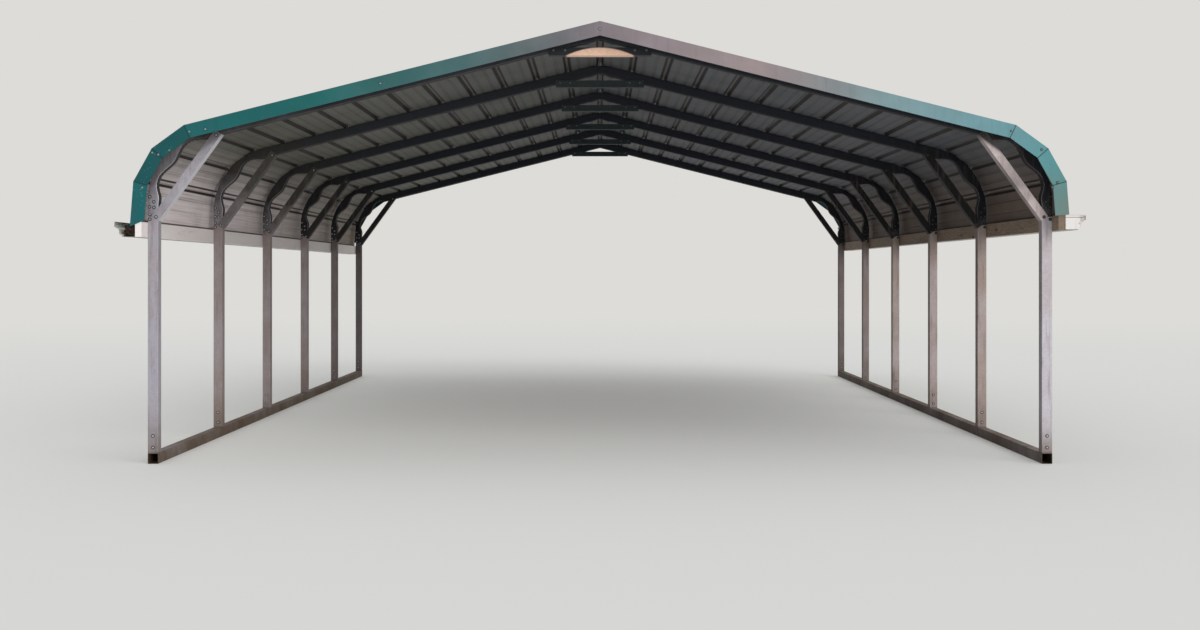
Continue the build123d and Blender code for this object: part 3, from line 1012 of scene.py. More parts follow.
class PieceTree:
    """A Geometry Nodes tree that builds a mesh of one material on a piece's bare points."""

    def __init__(self, name: str, sizes: Sequence[str], kind: str = "NodeSocketFloat") -> None:
        """Make the tree with its inputs and its output.

        Args:
            name: the tree's name.
            sizes: the names of its size inputs.
            kind: the type of the size inputs.
        """
        tree = bpy.data.node_groups.new(name, "GeometryNodeTree")
        kinds = {"Points": "NodeSocketGeometry", **dict.fromkeys(sizes, kind),
                 "Material": "NodeSocketMaterial"}
        self.keys = {label: tree.interface.new_socket(label, in_out="INPUT", socket_type=each).identifier
                     for label, each in kinds.items()}
        tree.interface.new_socket("Mesh", in_out="OUTPUT", socket_type="NodeSocketGeometry")
        self.tree = tree
        self.sizes = sizes
        self.node: Node = partial(add, tree)
        self.given = self.node("NodeGroupInput").node.outputs

    def turned(self, widest: float) -> Socket:
        """A rotation for each point: up along the point's axis, then spun by chance.

        Args:
            widest: the widest spin in radians.

        Returns:
            The rotation.
        """
        axis = self.node(NAMED, "axis", data_type="FLOAT_VECTOR")
        aimed = self.node("FunctionNodeAlignRotationToVector", {"Vector": axis}, axis="Z")
        turn = self.node("FunctionNodeRandomValue", {"Max": widest, "Seed": SEED})
        spin = self.node("FunctionNodeAxisAngleToRotation", (0, 0, 1), turn)
        return self.node("FunctionNodeRotateRotation", aimed, spin, rotation_space="LOCAL")

    def close(self, geometry: Socket) -> None:
        """Realise what the tree has built, set its material and give it out.

        Args:
            geometry: what it has built.
        """
        whole = self.node("GeometryNodeRealizeInstances", geometry)
        finish = {"Geometry": whole, "Material": self.given["Material"]}
        dressed = self.node("GeometryNodeSetMaterial", finish)
        self.node("NodeGroupOutput", dressed)

    def close_on_points(self, instance: Socket, **settings: Socket) -> None:
        """Set a copy of a mesh on every point and close the tree.

        Args:
            instance: the mesh.
            settings: the rotation and the scale of the copies.
        """
        self.close(self.node("GeometryNodeInstanceOnPoints",
                             {"Points": self.given["Points"], "Instance": instance, **settings}))

    def run(self, obj: Thing, values: dict[str, object]) -> None:
        """Put the tree on a piece and set its inputs by their identifiers.

        Args:
            obj: the piece.
            values: the inputs' values by name.
        """
        modifier = obj.modifiers.new(self.tree.name, "NODES")
        modifier.node_group = self.tree
        for name, value in values.items():
            modifier[self.keys[name]] = value


# Sub-assemblies


@dataclass
class TubeFrames:
    """Rails, legs and braces, which keep the shapes of the CAD, and the bows."""

    # The right-hand colours carry painted light and shade
    tube: Galvanised = Galvanised("weathered_galvanised_tube", "#b3b0bc", "#cbc6d0", "#9f908b", "#b5a39b",
                                  "#84766d", 0.55)
    brace: Galvanised = Galvanised("galvanised_channel", "#c2bdc8", "#e4d4d2", "#68645c", "#2c2b2a",
                                   "#7b7069", 0.92, grime_low=1.28, grime_high=1.95, right_shade_rise=0.30,
                                   rear_dark=True, painted_ridge_light=True)
    # The bows' finish carries painted shade under the roof, as well as mildew
    shaded: Galvanised = Galvanised("shaded_mildewed_galvanised_bow", "#bdb7c3", "#b4aeb6", "#504b43", "#242329",
                                    "#565350", 0.95, grime_low=1.55, grime_high=2.0, ends_grime=0.50,
                                    ends_grime_right=0.97, right_shade_rise=0.36, rear_dark=True, crushed=True)
    eave_arc: float = 0.462
    eave_crush: Crush = Crush(depth=0.030, bulge=0.012, pitch=0.278, phase=0.5, reach=0.285)
    ridge_crush: Crush = Crush(depth=0.008, bulge=0.003, pitch=0.160, phase=0.0, reach=0.120)
    wrinkle: float = 0.0022
    wrinkle_pitch: float = 0.022
    wrinkle_step: float = 0.005
    crush_spread: tuple[float, float] = (0.85, 1.1)
    crush_shift: float = 0.008
    neck_taper: float = 0.012
    neck_margin: float = 0.010
    side_bulge: float = 0.16
    sharp_angle: float = 50.0

    def build(self) -> None:
        """Dress the rails, legs and braces and sweep the six bows."""
        tube, brace = self.tube.make(), self.brace.make()
        for name, node in frame["nodes"].items():
            if name.startswith(("leg_", "base_rail", "rail_sleeves")):
                set_finish(node, tube)
            elif "_braces" in name:
                set_finish(node, brace)
        tree = self.sweep_tree()
        values = {"Tube Width": SIZES.tube, "Corner Radius": SIZES.tube_corner, "Side Bulge": self.side_bulge,
                  "Material": self.shaded.make()}
        for number, y in enumerate(SIZES.frames_y, 1):
            piece = self.bow_path(number, y)
            tree.run(piece, values)
            bake(piece, "root")
            piece.data.shade_smooth()
            piece.data.set_sharp_from_angle(angle=math.radians(self.sharp_angle))
            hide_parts(f"bow_{number}")
            LOG.info("bow %d: %d faces", number, len(piece.data.polygons))

    def bends(self) -> list[tuple[Bend, Crush]]:
        """The bends from right to left: one wide arc at each eave, and the ridge between them.

        Returns:
            Each bend and how it is crushed.
        """
        slope = 180 - SIZES.roof_slope
        corner = meet(Vector((SIZES.half, 0, 0)), 90, RIDGE_CORNER, slope)
        right = Bend(corner, 90, slope, self.eave_arc)
        left = Bend(Vector((-corner.x, 0, corner.z)), 360 - slope, 270, self.eave_arc)
        return [(right, self.eave_crush), (RIDGE_BEND, self.ridge_crush), (left, self.eave_crush)]

    def bow_path(self, number: int, y: float) -> Thing:
        """The middle line of a bow, with how far its inner wall is pushed in.

        Args:
            number: the bow's number from the front.
            y: its place along the carport.

        Returns:
            An object of joined points.
        """
        chance = random.Random(SEED + number)
        leg_x = SIZES.half - SIZES.tube / 2
        shrink = 1 - SIZES.sleeve / SIZES.tube
        top = SIZES.leg_top + SIZES.neck_shown
        neck = [(SIZES.leg_top - SIZES.neck_depth, shrink), (top - self.neck_taper, shrink), (top, 0.0),
                (top + self.neck_margin, 0.0)]
        rows = [(Vector((leg_x, 0, z)), 90.0, 0.0, 0.0, amount) for z, amount in neck]
        for bend, crush in self.bends():
            scale = chance.uniform(*self.crush_spread)
            shift = chance.uniform(-self.crush_shift, self.crush_shift)
            steps = round(crush.reach / self.wrinkle_step)
            for step in range(-steps, steps + 1):
                run = crush.reach * step / steps
                point, heading = bend.centre_point(run)
                dent = crush.dent(run + shift) * scale
                ripple = self.wrinkle * math.sin(2 * math.pi * run / self.wrinkle_pitch)
                rows.append((point, heading, dent, ripple * max(0.0, dent / crush.depth), 0.0))
        rows += [(Vector((-leg_x, 0, z)), 270.0, 0.0, 0.0, amount) for z, amount in reversed(neck)]
        points, headings, dents, ripples, shrinks = zip(*rows)
        points = [point + Vector((0, y, 0)) for point in points]
        edges = [(start, start + 1) for start in range(len(rows) - 1)]
        return point_mesh(f"swept_bow_{number}", points, edges, centre=points,
                          inward=[direction(heading + 90) for heading in headings],
                          dent=dents, ripple=ripples, shrink=shrinks)

    @staticmethod
    def sweep_tree() -> PieceTree:
        """The tree that sweeps a rounded square along a bow and crushes its bends.

        Returns:
            The tree.
        """
        piece = PieceTree("crushed_tube_sweep", ("Tube Width", "Corner Radius", "Side Bulge"))
        node, given = piece.node, piece.given
        width = given["Tube Width"]
        square = node("GeometryNodeCurvePrimitiveQuadrilateral", {"Width": width, "Height": width},
                      mode="RECTANGLE")
        corners = {"Curve": square, "Count": 3, "Radius": given["Corner Radius"]}
        rounded = node("GeometryNodeFilletCurve", corners, mode="POLY")
        flats = node("GeometryNodeSubdivideCurve", {"Curve": rounded, "Cuts": 2})
        path = node("GeometryNodeMeshToCurve", given["Points"])
        tube = node("GeometryNodeCurveToMesh", {"Curve": path, "Profile Curve": flats, "Fill Caps": True})
        centre, inward = (node(NAMED, name, data_type="FLOAT_VECTOR") for name in ("centre", "inward"))
        dent, ripple, shrink = (node(NAMED, name, data_type="FLOAT") for name in ("dent", "ripple", "shrink"))
        arm = node(VECTOR, node("GeometryNodeInputPosition"), centre, operation="SUBTRACT")
        depth = node("DIVIDE", node(VECTOR, arm, inward, out="Value", operation="DOT_PRODUCT"), width)
        mask = node(RANGE, depth, 0.0, 0.5, interpolation_type="SMOOTHSTEP")
        push = node("ADD", dent, ripple)
        for factor in (mask, -1.0):
            push = node("MULTIPLY", push, factor)
        moved = node(VECTOR, inward, push, operation="SCALE")
        # The side walls bulge where the inner wall is pushed in
        level = node("ABSOLUTE", node("ADD", depth, -0.1))
        middle = node(RANGE, level, 0.45, 0.0, interpolation_type="SMOOTHSTEP")
        sideways = node("DIVIDE", node(SPLIT, arm, out="Y"), width)
        swell = node("ADD", node("MULTIPLY", dent, given["Side Bulge"]), ripple)
        for factor in (middle, sideways, 2.0):
            swell = node("MULTIPLY", swell, factor)
        drawn = node(VECTOR, arm, node("MULTIPLY", shrink, -1.0), operation="SCALE")
        for offset in (node(COMBINE, {"Y": swell}), drawn):
            moved = node(VECTOR, moved, offset, operation="ADD")
        edge = node(SPLIT, node(VECTOR, arm, operation="ABSOLUTE"), out="Y")
        edge = node("MINIMUM", node("DIVIDE", edge, width), depth)
        marks = {"inner_wall": node(RANGE, depth, 0.4, 0.48),
                 "inner_corner": node("GREATER_THAN", edge, 0.445)}
        for name, value in marks.items():
            tube = node(STORE, {"Geometry": tube, "Name": name, "Value": value})
        piece.close(node(MOVE, {"Geometry": tube, "Offset": moved}))
        return piece


@dataclass
class RoofSheets:
    """The seven ribbed sheets: green outside, off-white inside."""

    outside: RoofTop = RoofTop()
    inside: RoofBacker = RoofBacker()
    centre_height: float = 1.0
    outer_face: float = 0.02
    merge: float = 0.00005

    def build(self) -> None:
        """Copy each CAD sheet, join its loose faces and give its two sides their finishes."""
        materials = [self.inside.make(), self.outside.make()]
        for name in sorted(node for node in frame["nodes"] if node.startswith("roof_sheet_")):
            mesh = frame["nodes"][name].data.copy()
            mesh.name = f"coated_{name}"
            self.join(mesh)
            mesh.materials.clear()
            for material in materials:
                mesh.materials.append(material)
            self.sort_faces(mesh)
            piece = new_object(f"coated_{name}", mesh)
            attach(piece, "root")
            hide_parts(name)
            LOG.info("%s: %d faces", piece.name, len(mesh.polygons))

    def join(self, mesh: bpy.types.Mesh) -> None:
        """Merge the points that loose triangles share.

        Args:
            mesh: the sheet's mesh.
        """
        work = bmesh.new()
        work.from_mesh(mesh)
        bmesh.ops.remove_doubles(work, verts=work.verts, dist=self.merge)
        work.to_mesh(mesh)
        work.free()

    def sort_faces(self, mesh: bpy.types.Mesh) -> None:
        """Tell outer faces from inner ones, and note how far each corner lies from the nearest rib.

        Args:
            mesh: the sheet's mesh.
        """
        from_rib = mesh.attributes.new("from_rib", "FLOAT", "CORNER")
        for face in mesh.polygons:
            middle = face.center
            outward = face.normal.dot(middle - Vector((0, middle.y, self.centre_height)))
            face.material_index = 1 if outward > self.outer_face else 0
            side = math.copysign(1.0, middle.x)
            flat = Vector((middle.x * side, 0, middle.z))
            run = ROOF.nearest_run(flat)
            station = ROOF.station_of(flat, run)
            rib = min(ROOF.ribs, key=lambda place: abs(place - station))
            for loop in face.loop_indices:
                point = mesh.vertices[mesh.loops[loop].vertex_index].co
                from_rib.data[loop].value = ROOF.station_of(Vector((point.x * side, 0, point.z)), run) - rib
        mesh.update()


@dataclass
class Joinery:
    """Gable trim, eave boards, gutters and their end caps, which keep the shapes of the CAD."""

    trim: TrimPaint = TrimPaint()
    gutter: GutterEnamel = GutterEnamel()
    painted: BoardWood = BoardWood("cream_painted_softwood", "#9c8468", "#6e5943", "#fdf4f1", 0.95)
    bare: BoardWood = BoardWood("bare_weathered_softwood", "#94806b", "#66564a", "#94806b", 0.0)

    def build(self) -> None:
        """Give each node its finish."""
        finishes = {"_trim_": self.trim.make(), "gutter": self.gutter.make(),
                    "eave_board_left": self.painted.make(), "eave_board_right": self.bare.make()}
        for name, node in frame["nodes"].items():
            for mark, material in finishes.items():
                if mark in name:
                    set_finish(node, material)
        LOG.info("trim, boards and gutters dressed")


@dataclass(frozen=True)
class HexScrew:
    """The sizes of one kind of hex washer-head screw."""

    name: str
    head_width: float = 0.0080
    head_height: float = 0.0045
    washer_width: float = 0.0145
    washer_height: float = 0.0012
    seal_width: float = 0.0165
    shank_width: float = 0.0063
    shank_length: float = 0.012


@dataclass
class ScrewSet:
    """All the screws of one kind, set on points by Geometry Nodes."""

    kind: HexScrew
    finish: ZincScrew
    places: list[tuple[Vector, Vector]] = field(default_factory=list)

    def put(self, point: Vector, axis: Vector, y: float = 0.0, side: Side = Side.RIGHT) -> None:
        """Add a screw whose washer rests at a point of the right side and whose head faces along an axis.

        Args:
            point: the point.
            axis: the axis.
            y: how far both are moved along the carport.
            side: the side that they are mirrored to.
        """
        flip = Vector((side.value, 1, 1))
        self.places.append(((point + Vector((0, y, 0))) * flip, axis * flip))

    def build(self) -> None:
        """Make the screws one plain mesh."""
        points, axes = zip(*self.places)
        piece = point_mesh(self.kind.name, points, axis=axes)
        sizes = {label.replace("_", " ").title(): size for label, size in vars(self.kind).items()
                 if label != "name"}
        tree = PieceTree(f"{self.kind.name}_tree", list(sizes))
        tree.close_on_points(self.screw(tree), Rotation=tree.turned(math.pi / 3))
        tree.run(piece, {**sizes, "Material": self.finish.make()})
        bake(piece, "root")
        LOG.info("%s: %d screws, %d faces", self.kind.name, len(points), len(piece.data.polygons))

    @staticmethod
    def screw(tree: PieceTree) -> Socket:
        """A hex washer-head screw whose washer rests at the origin.

        Args:
            tree: the tree, with an input for each size.

        Returns:
            The screw's mesh.
        """
        node, given = tree.node, tree.given
        half = {name: node("MULTIPLY", given[name], 0.5) for name in tree.sizes}
        thick = given["Washer Height"]
        rim = node("MULTIPLY", half["Washer Width"], 0.78)
        washer = node("GeometryNodeMeshCone", {"Vertices": 14, "Radius Top": rim, "Depth": thick,
                                               "Radius Bottom": half["Washer Width"]}, out="Mesh")
        # A hexagon's corners stand wider than its flats
        head_radius = node("DIVIDE", half["Head Width"], math.cos(math.radians(30)))
        rounds = ((6, head_radius, given["Head Height"]), (14, half["Seal Width"], thick),
                  (7, half["Shank Width"], given["Shank Length"]))
        head, seal, shank = (node("GeometryNodeMeshCylinder", {"Vertices": count, "Radius": radius,
                                                               "Depth": depth}, out="Mesh")
                             for count, radius, depth in rounds)
        on_washer = node("ADD", half["Head Height"], node("MULTIPLY", thick, 1.5))
        drop = node("MULTIPLY", half["Shank Length"], -1.0)
        lifts = ((head, on_washer), (washer, half["Washer Height"]), (shank, drop))
        head, washer, shank = (node(TRANSFORM, {"Geometry": part, "Translation": node(COMBINE, {"Z": lift})})
                               for part, lift in lifts)
        seal, shank = (node(STORE, {"Geometry": part, "Name": name, "Value": 1.0})
                       for part, name in ((seal, "seal"), (shank, "shank")))
        return node("GeometryNodeJoinGeometry", [head, washer, seal, shank])


@dataclass
class Fixings:
    """Every screw on the carport: roof, trim, tube joints, braces and leg feet."""

    front_y: float = -SIZES.gable_y - 0.003
    lap: float = 0.0015
    lapped_from: float = 2.6
    flange_edge: float = 0.035
    joint_marks: tuple[tuple[float, float], ...] = (
        (0.121, 0.019), (0.0905, -0.005), (0.060, 0.021), (0.057, -0.006), (0.014, 0.019), (-0.014, 0.019))
    ridge_sink: float = 0.0026
    foot_heights: tuple[float, ...] = (0.035, 0.105)
    ray_length: float = 0.2
    knee_ends: tuple[tuple[float, float], ...] = ((0.010, 0.024), (-0.022, 0.020))
    peak_ends: tuple[float, ...] = (0.03, 0.10)
    peak_rise: float = 0.030
    trim_seams: tuple[tuple[float, float], ...] = (
        (-2.655, 1.861), (-2.620, 1.850), (-2.554, 1.876), (-2.715, 1.654), (-2.436, 1.986), (-2.341, 2.001),
        (-1.303, 2.272), (0.0, 2.596), (2.441, 1.989), (2.619, 1.880), (2.714, 1.684), (2.684, 1.656))

    def build(self) -> None:
        """Place and build all the sets."""
        bright = ZincScrew("bright_zinc_plated_screw", right_shade=0.85)
        painted = ZincScrew("green_capped_screw", "#3c7268", 0.2)
        dull = ZincScrew("dulled_zinc_plated_screw", "#8fa3a3", 0.45, right_shade=0.6)
        sooted = ZincScrew("sooted_zinc_screw", "#5d6060", 0.3)
        roof = ScrewSet(HexScrew("roof_screws", shank_length=0.024), painted)
        folds = ScrewSet(HexScrew("fold_screws", shank_length=0.050), painted)
        trim = ScrewSet(HexScrew("trim_screws", head_width=0.0085, head_height=0.0035, washer_width=0.0130,
                                 seal_width=0.018, shank_length=0.010), dull)
        joints = ScrewSet(HexScrew("joint_screws", head_width=0.0085, washer_width=0.0115, seal_width=0.021,
                                   shank_length=0.004), bright)
        peaks = ScrewSet(HexScrew("peak_screws", shank_length=0.004), sooted)
        self.roof(roof, folds)
        self.trim(trim)
        self.joints(joints)
        self.braces(joints, peaks)
        for group in (roof, folds, trim, joints, peaks):
            group.build()

    def roof(self, slopes: ScrewSet, folds: ScrewSet) -> None:
        """A screw through every rib over every bow.

        Args:
            slopes: the screws of the two slopes.
            folds: the longer screws beyond the folds.
        """
        for number, station in enumerate(ROOF.ribs):
            lift = SIZES.sheet + SIZES.lap_gap if number in SIZES.laps else 0.0
            # The ridge screws pull the crest down under their washers
            sink = self.ridge_sink if number == 0 else 0.0
            point = ROOF.at(station, SIZES.seat + SIZES.rib_height + SIZES.sheet + lift - sink)
            axis = ROOF.normal(station) if number else Vector((0, 0, 1))
            group = slopes if ROOF.run_at(station) == 0 else folds
            for side in Side if number else (Side.RIGHT,):
                for y in SIZES.frames_y:
                    group.put(point, axis, y, side)

    def trim(self, group: ScrewSet) -> None:
        """Screws at the seams of both gables, and through the trim's top flange into the ribs.

        Args:
            group: the trim's screws.
        """
        for x, z in self.trim_seams:
            sunk = 0.0 if abs(x) > self.lapped_from else self.lap
            for end in (1, -1):
                group.put(Vector((x, end * (self.front_y + sunk), z)), Vector((0, -end, 0)))
        for number, station in enumerate(ROOF.ribs):
            if number == 0 or number % 2 and number != len(ROOF.ribs) - 1:
                continue
            for side in Side:
                for end in (1, -1):
                    group.put(ROOF.at(station, SIZES.trim_outer), ROOF.normal(station),
                              end * (SIZES.gable_y - self.flange_edge), side)

    def joints(self, group: ScrewSet) -> None:
        """Screws on the front and rear faces of every leg, at its top and its foot.

        Args:
            group: the joints' screws.
        """
        leg_x = SIZES.half - SIZES.tube / 2
        for side in Side:
            for number, y in enumerate(SIZES.frames_y, 1):
                bow = bpy.data.objects[f"swept_bow_{number}"]
                for end in (-1, 1):
                    face = y + end * SIZES.tube / 2
                    for rise, shift in self.joint_marks:
                        point = Vector((side.value * (leg_x + shift), y + end * self.ray_length,
                                        SIZES.leg_top + rise))
                        found, wall, _, _ = bow.ray_cast(point, Vector((0, -end, 0)))
                        point.y = wall.y if found and rise > 0 else face
                        group.put(point, Vector((0, end, 0)))
                    for rise in self.foot_heights:
                        group.put(Vector((side.value * leg_x, face, SIZES.tube + rise)), Vector((0, end, 0)))

    def braces(self, knees: ScrewSet, peaks: ScrewSet) -> None:
        """Screws through both flanges of every brace, near its two ends.

        Args:
            knees: the screws of the knee braces.
            peaks: the screws of the ridge braces.
        """
        foot = Vector((SIZES.half - SIZES.tube - SIZES.seat, 0, SIZES.leg_top - SIZES.knee_below_leg_top))
        along = direction(180 - SIZES.knee_slope)
        under = RIDGE_BEND.corner_at(SIZES.tube + SIZES.seat)
        head = meet(foot, 180 - SIZES.knee_slope, under, 180 - SIZES.roof_slope)
        rise = direction(90 - SIZES.knee_slope)
        reach = SIZES.tube / 2 + SIZES.seat + SIZES.brace_wall
        knee_marks = [start + along * inwards + rise * height
                      for start, (inwards, height) in zip((foot, head), self.knee_ends)]
        half = SIZES.peak_brace_length / 2
        peak_z = meet(RIDGE_BEND.corner_at(SIZES.tube), -SIZES.roof_slope, Vector((half, 0, 0)), 90).z
        peak_z += self.peak_rise - SIZES.peak_brace_drop
        peak_marks = [Vector((half - place, 0, peak_z)) for place in self.peak_ends]
        for side in Side:
            for y in SIZES.frames_y:
                for end in (-1, 1):
                    for group, marks in ((knees, knee_marks), (peaks, peak_marks)):
                        for mark in marks:
                            group.put(mark, Vector((0, end, 0)), y + end * reach, side)


@dataclass
class GutterDetails:
    """Strap hangers across both gutters, and the leaves that fill the open left end."""

    litter_finish: LeafLitter = LeafLitter()
    strap_width: float = 0.025
    strap_thickness: float = 0.0015
    strap_pitch: float = 0.61
    strap_depth: float = 0.0035
    strap_end_gap: float = 0.2
    lip_gap: float = 0.0015
    litter_length: float = 0.95
    litter_height: float = 0.056
    litter_foot: float = 0.002
    litter_lumps: tuple[float, float] = (0.75, 1.0)
    litter_flat: float = 0.72
    rows: int = 48
    columns: int = 12
    leaf: float = 0.030
    leaf_thickness: float = 0.0004
    leaf_curl: float = 26.0
    leaf_narrow: float = 0.45
    leaf_tilt: float = 0.7
    leaf_count: int = 260
    end_leaves: int = 60

    def build(self) -> None:
        """Make the hangers, the bed of litter and its loose leaves."""
        self.hangers(Side.LEFT, SIZES.left_board_top)
        self.hangers(Side.RIGHT, SIZES.right_board_top)
        self.litter()

    def hangers(self, side: Side, top: float) -> None:
        """Straps from the back of one gutter to its lip.

        Args:
            side: the gutter's side.
            top: the height of its top.
        """
        back = SIZES.gutter_x + SIZES.gutter + SIZES.seat
        lip = SIZES.gutter_x + SIZES.gutter_width - self.lip_gap
        count = int(2 * (SIZES.gable_y - self.strap_end_gap) / self.strap_pitch)
        first = -self.strap_pitch * (count - 1) / 2
        points = [Vector(((back + lip) / 2 * side.value, first + number * self.strap_pitch,
                          top - self.strap_depth)) for number in range(count)]
        name = f"gutter_hangers_{side.name.lower()}"
        piece = point_mesh(name, points)
        tree = PieceTree(f"{name}_tree", ("Strap Size",), "NodeSocketVector")
        strap = {"Size": tree.given["Strap Size"], "Vertices X": 6}
        tree.close_on_points(tree.node("GeometryNodeMeshCube", strap, out="Mesh"))
        finish = ZincScrew(f"galvanised_strap_{side.name.lower()}", "#a9a9a6", 0.5)
        tree.run(piece, {"Strap Size": (lip - back, self.strap_width, self.strap_thickness),
                         "Material": finish.make()})
        bake(piece, "root")
        LOG.info("%s: %d straps", name, count)

    def litter(self) -> None:
        """A lumpy bed in the front end of the left gutter, with loose leaves on it."""
        chance = random.Random(SEED)
        floor = SIZES.left_board_top - SIZES.gutter_height + SIZES.gutter + 0.0006
        inner = SIZES.gutter_x + SIZES.gutter + 0.001
        outer = SIZES.gutter_x + SIZES.gutter_floor - 0.004
        front = -SIZES.gable_y + 0.016
        rows, columns = self.rows, self.columns
        bed: list[Vector] = []
        for row in range(rows + 1):
            along = row / rows
            fall = 1 - smoothstep((along - 0.35) / 0.65)
            for column in range(columns + 1):
                across = column / columns
                arch = self.litter_flat + (1 - self.litter_flat) * math.sin(math.pi * across)
                lump = chance.uniform(*self.litter_lumps) * arch
                bed.append(Vector((-(inner + (outer - inner) * across), front + self.litter_length * along,
                                   floor + self.litter_foot + self.litter_height * fall * lump)))
        width, count = columns + 1, len(bed)
        corners = [row * width + column for row in range(rows) for column in range(columns)]
        faces = [(corner, corner + width, corner + width + 1, corner + 1) for corner in corners]
        faces += [tuple(number + count for number in reversed(face)) for face in faces]
        rim = [*range(width), *(row * width + columns for row in range(1, rows + 1))]
        rim += [rows * width + column for column in range(columns - 1, -1, -1)]
        rim += [row * width for row in range(rows - 1, 0, -1)]
        faces += [(here, after, after + count, here + count) for here, after in zip(rim, rim[1:] + rim[:1])]
        material = self.litter_finish.make()
        mesh = bpy.data.meshes.new("leaf_bed")
        mesh.from_pydata(bed + [Vector((point.x, point.y, floor)) for point in bed], [], faces)
        mesh.materials.append(material)
        piece = new_object("leaf_bed", mesh)
        self.face_out(mesh)
        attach(piece, "root")
        self.leaves(bed, chance, material)

    @staticmethod
    def face_out(mesh: bpy.types.Mesh) -> None:
        """Turn a closed mesh's faces outwards.

        Args:
            mesh: the mesh.
        """
        work = bmesh.new()
        work.from_mesh(mesh)
        bmesh.ops.recalc_face_normals(work, faces=work.faces)
        work.to_mesh(mesh)
        work.free()

    def leaves(self, bed: list[Vector], chance: random.Random, material: bpy.types.Material) -> None:
        """Curled leaves on the bed.

        Args:
            bed: the bed's top points, row by row.
            chance: the seeded source of chance.
            material: the leaves' finish.
        """
        width = self.columns + 1
        points, axes = [], []
        for _ in range(self.leaf_count):
            row = int(self.rows * chance.random() ** 1.4)
            column = chance.randrange(1, width - 2)
            points.append(bed[row * width + column] + Vector((0, 0.012, 0.003 + chance.random() * 0.004)))
            lean = (chance.uniform(-self.leaf_tilt, self.leaf_tilt) for _ in range(2))
            axes.append(Vector((*lean, 1)).normalized())
        # Leaves pressed together at the open end
        low_z = SIZES.left_board_top - SIZES.gutter_height + 0.003
        for _ in range(self.end_leaves):
            low = bed[0].lerp(bed[width - 1], chance.uniform(0.12, 0.88))
            rise = chance.uniform(0.25, 0.95) * self.litter_height
            points.append(Vector((low.x, low.y + chance.uniform(-0.003, 0.006), low_z + rise)))
            axes.append(Vector((chance.uniform(-0.6, 0.6), -1, chance.uniform(-0.5, 0.8))).normalized())
        piece = point_mesh("gutter_leaves", points, axis=axes)
        tree = PieceTree("gutter_leaves_tree", ("Leaf Length",))
        node, length = tree.node, tree.given["Leaf Length"]
        width = node("MULTIPLY", length, self.leaf_narrow)
        leaf = node("GeometryNodeMeshGrid", {"Size X": length, "Size Y": width, "Vertices X": 5,
                                             "Vertices Y": 3}, out="Mesh")
        spot = node(SPLIT, node("GeometryNodeInputPosition"), out="X")
        curl = node("MULTIPLY", node("MULTIPLY", spot, spot), self.leaf_curl)
        leaf = node(MOVE, {"Geometry": leaf, "Offset": node(COMBINE, {"Z": curl})})
        grow = node("FunctionNodeRandomValue", {"Min": 0.6, "Max": 1.15, "Seed": SEED + 1})
        tree.close_on_points(leaf, Rotation=tree.turned(2 * math.pi), Scale=grow)
        tree.run(piece, {"Leaf Length": self.leaf, "Material": material})
        solid = piece.modifiers.new("leaf_thickness", "SOLIDIFY")
        solid.thickness = self.leaf_thickness
        bake(piece, "root")
        LOG.info("gutter leaves: %d faces", len(piece.data.polygons))


# Studio


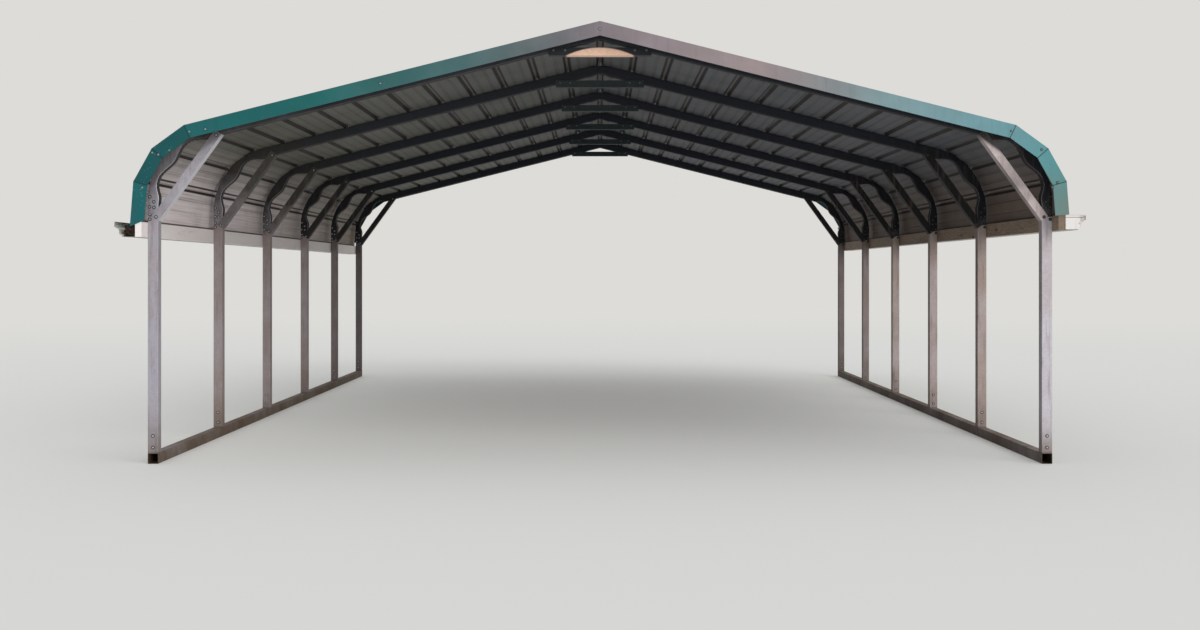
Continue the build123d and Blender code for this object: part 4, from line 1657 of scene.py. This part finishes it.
@dataclass
class Studio:
    """The pale floor, the soft light and the camera at the photograph's viewing angle."""

    image_width: int = 1200
    image_rows: int = 630
    sensor: float = 36.0
    focal_pixels: float = 1489.0
    camera_at: tuple[float, float, float] = (0.0, -12.796, 1.142)
    horizon_row: float = 274.0
    pale: str = "#dddcd8"
    floor_radius: float = 70.0
    key_from: tuple[float, float, float] = (0.55, -0.75, 0.38)
    key_energy: float = 1.3
    key_angle: float = 50.0

    def build(self) -> None:
        """Set up the view, the world, the floor, the lamp and the camera."""
        scene = bpy.context.scene
        scene.view_settings.view_transform = "Standard"
        self.world(scene)
        self.floor()
        self.lamp()
        camera = bpy.data.cameras.new("camera")
        camera.sensor_width = self.sensor
        camera.lens = self.sensor * self.focal_pixels / self.image_width
        camera.shift_y = (self.horizon_row - self.image_rows / 2) / self.image_width
        view = new_object("camera", camera)
        view.location = self.camera_at
        view.rotation_euler = (math.radians(90), 0, 0)
        scene.camera = view
        LOG.info("studio ready")

    def world(self, scene: bpy.types.Scene) -> None:
        """Even light from all round, with a pale background where the camera sees it.

        Args:
            scene: the scene.
        """
        world = bpy.data.worlds.new("studio")
        scene.world = world
        world.use_nodes = True
        world.node_tree.nodes.clear()
        node = partial(add, world.node_tree)
        soft = node("ShaderNodeBackground", (0.95, 0.97, 1.0, 1.0), 0.66)
        plain = node("ShaderNodeBackground", self.pale, 1.0)
        both = node("ShaderNodeMixShader", self.seen(node), soft, plain)
        node("ShaderNodeOutputWorld", both)

    def floor(self) -> None:
        """A wide floor that fades into the background."""
        material, node, place = new_material("pale_studio_floor")
        away = node(VECTOR, place, out="Value", operation="LENGTH")
        fade = node(RANGE, away, 8.0, 30.0, 0.3, interpolation_type="SMOOTHSTEP")
        fade = node("MULTIPLY", fade, self.seen(node))
        matt = node("ShaderNodeBsdfDiffuse", "#eeede9")
        glow = node("ShaderNodeEmission", self.pale, 1.0)
        both = node("ShaderNodeMixShader", fade, matt, glow)
        node(OUTPUT, both)
        mesh = bpy.data.meshes.new("studio_floor")
        angles = [math.radians(angle) for angle in range(0, 360, 5)]
        ring = [(self.floor_radius * math.cos(angle), self.floor_radius * math.sin(angle), -0.0005)
                for angle in angles]
        mesh.from_pydata(ring, [], [tuple(range(len(ring)))])
        mesh.materials.append(material)
        floor = new_object("studio_floor", mesh)

    @staticmethod
    def seen(node: Node) -> Socket:
        """Whether a place is seen by the camera, or in something glossy.

        Args:
            node: what adds a node to a tree.

        Returns:
            1 where it is seen, and 0 where it only sheds light.
        """
        path = node("ShaderNodeLightPath").node.outputs
        return node("MAXIMUM", path["Is Camera Ray"], path["Is Glossy Ray"])

    def lamp(self) -> None:
        """A broad soft key from the right in front, low enough to reach under the roof."""
        key = bpy.data.lights.new("key", "SUN")
        key.energy = self.key_energy
        key.angle = math.radians(self.key_angle)
        lamp = new_object("key", key)
        lamp.rotation_euler = Vector(self.key_from).to_track_quat("Z", "Y").to_euler()


def main() -> None:
    """Build the studio and every sub-assembly in order."""
    logging.basicConfig(level=logging.INFO, format="%(name)s: %(message)s")
    Studio().build()
    for part in (TubeFrames(), RoofSheets(), Joinery(), Fixings(), GutterDetails()):
        LOG.info("building %s", type(part).__name__)
        part.build()


if __name__ == "__main__":
    main()
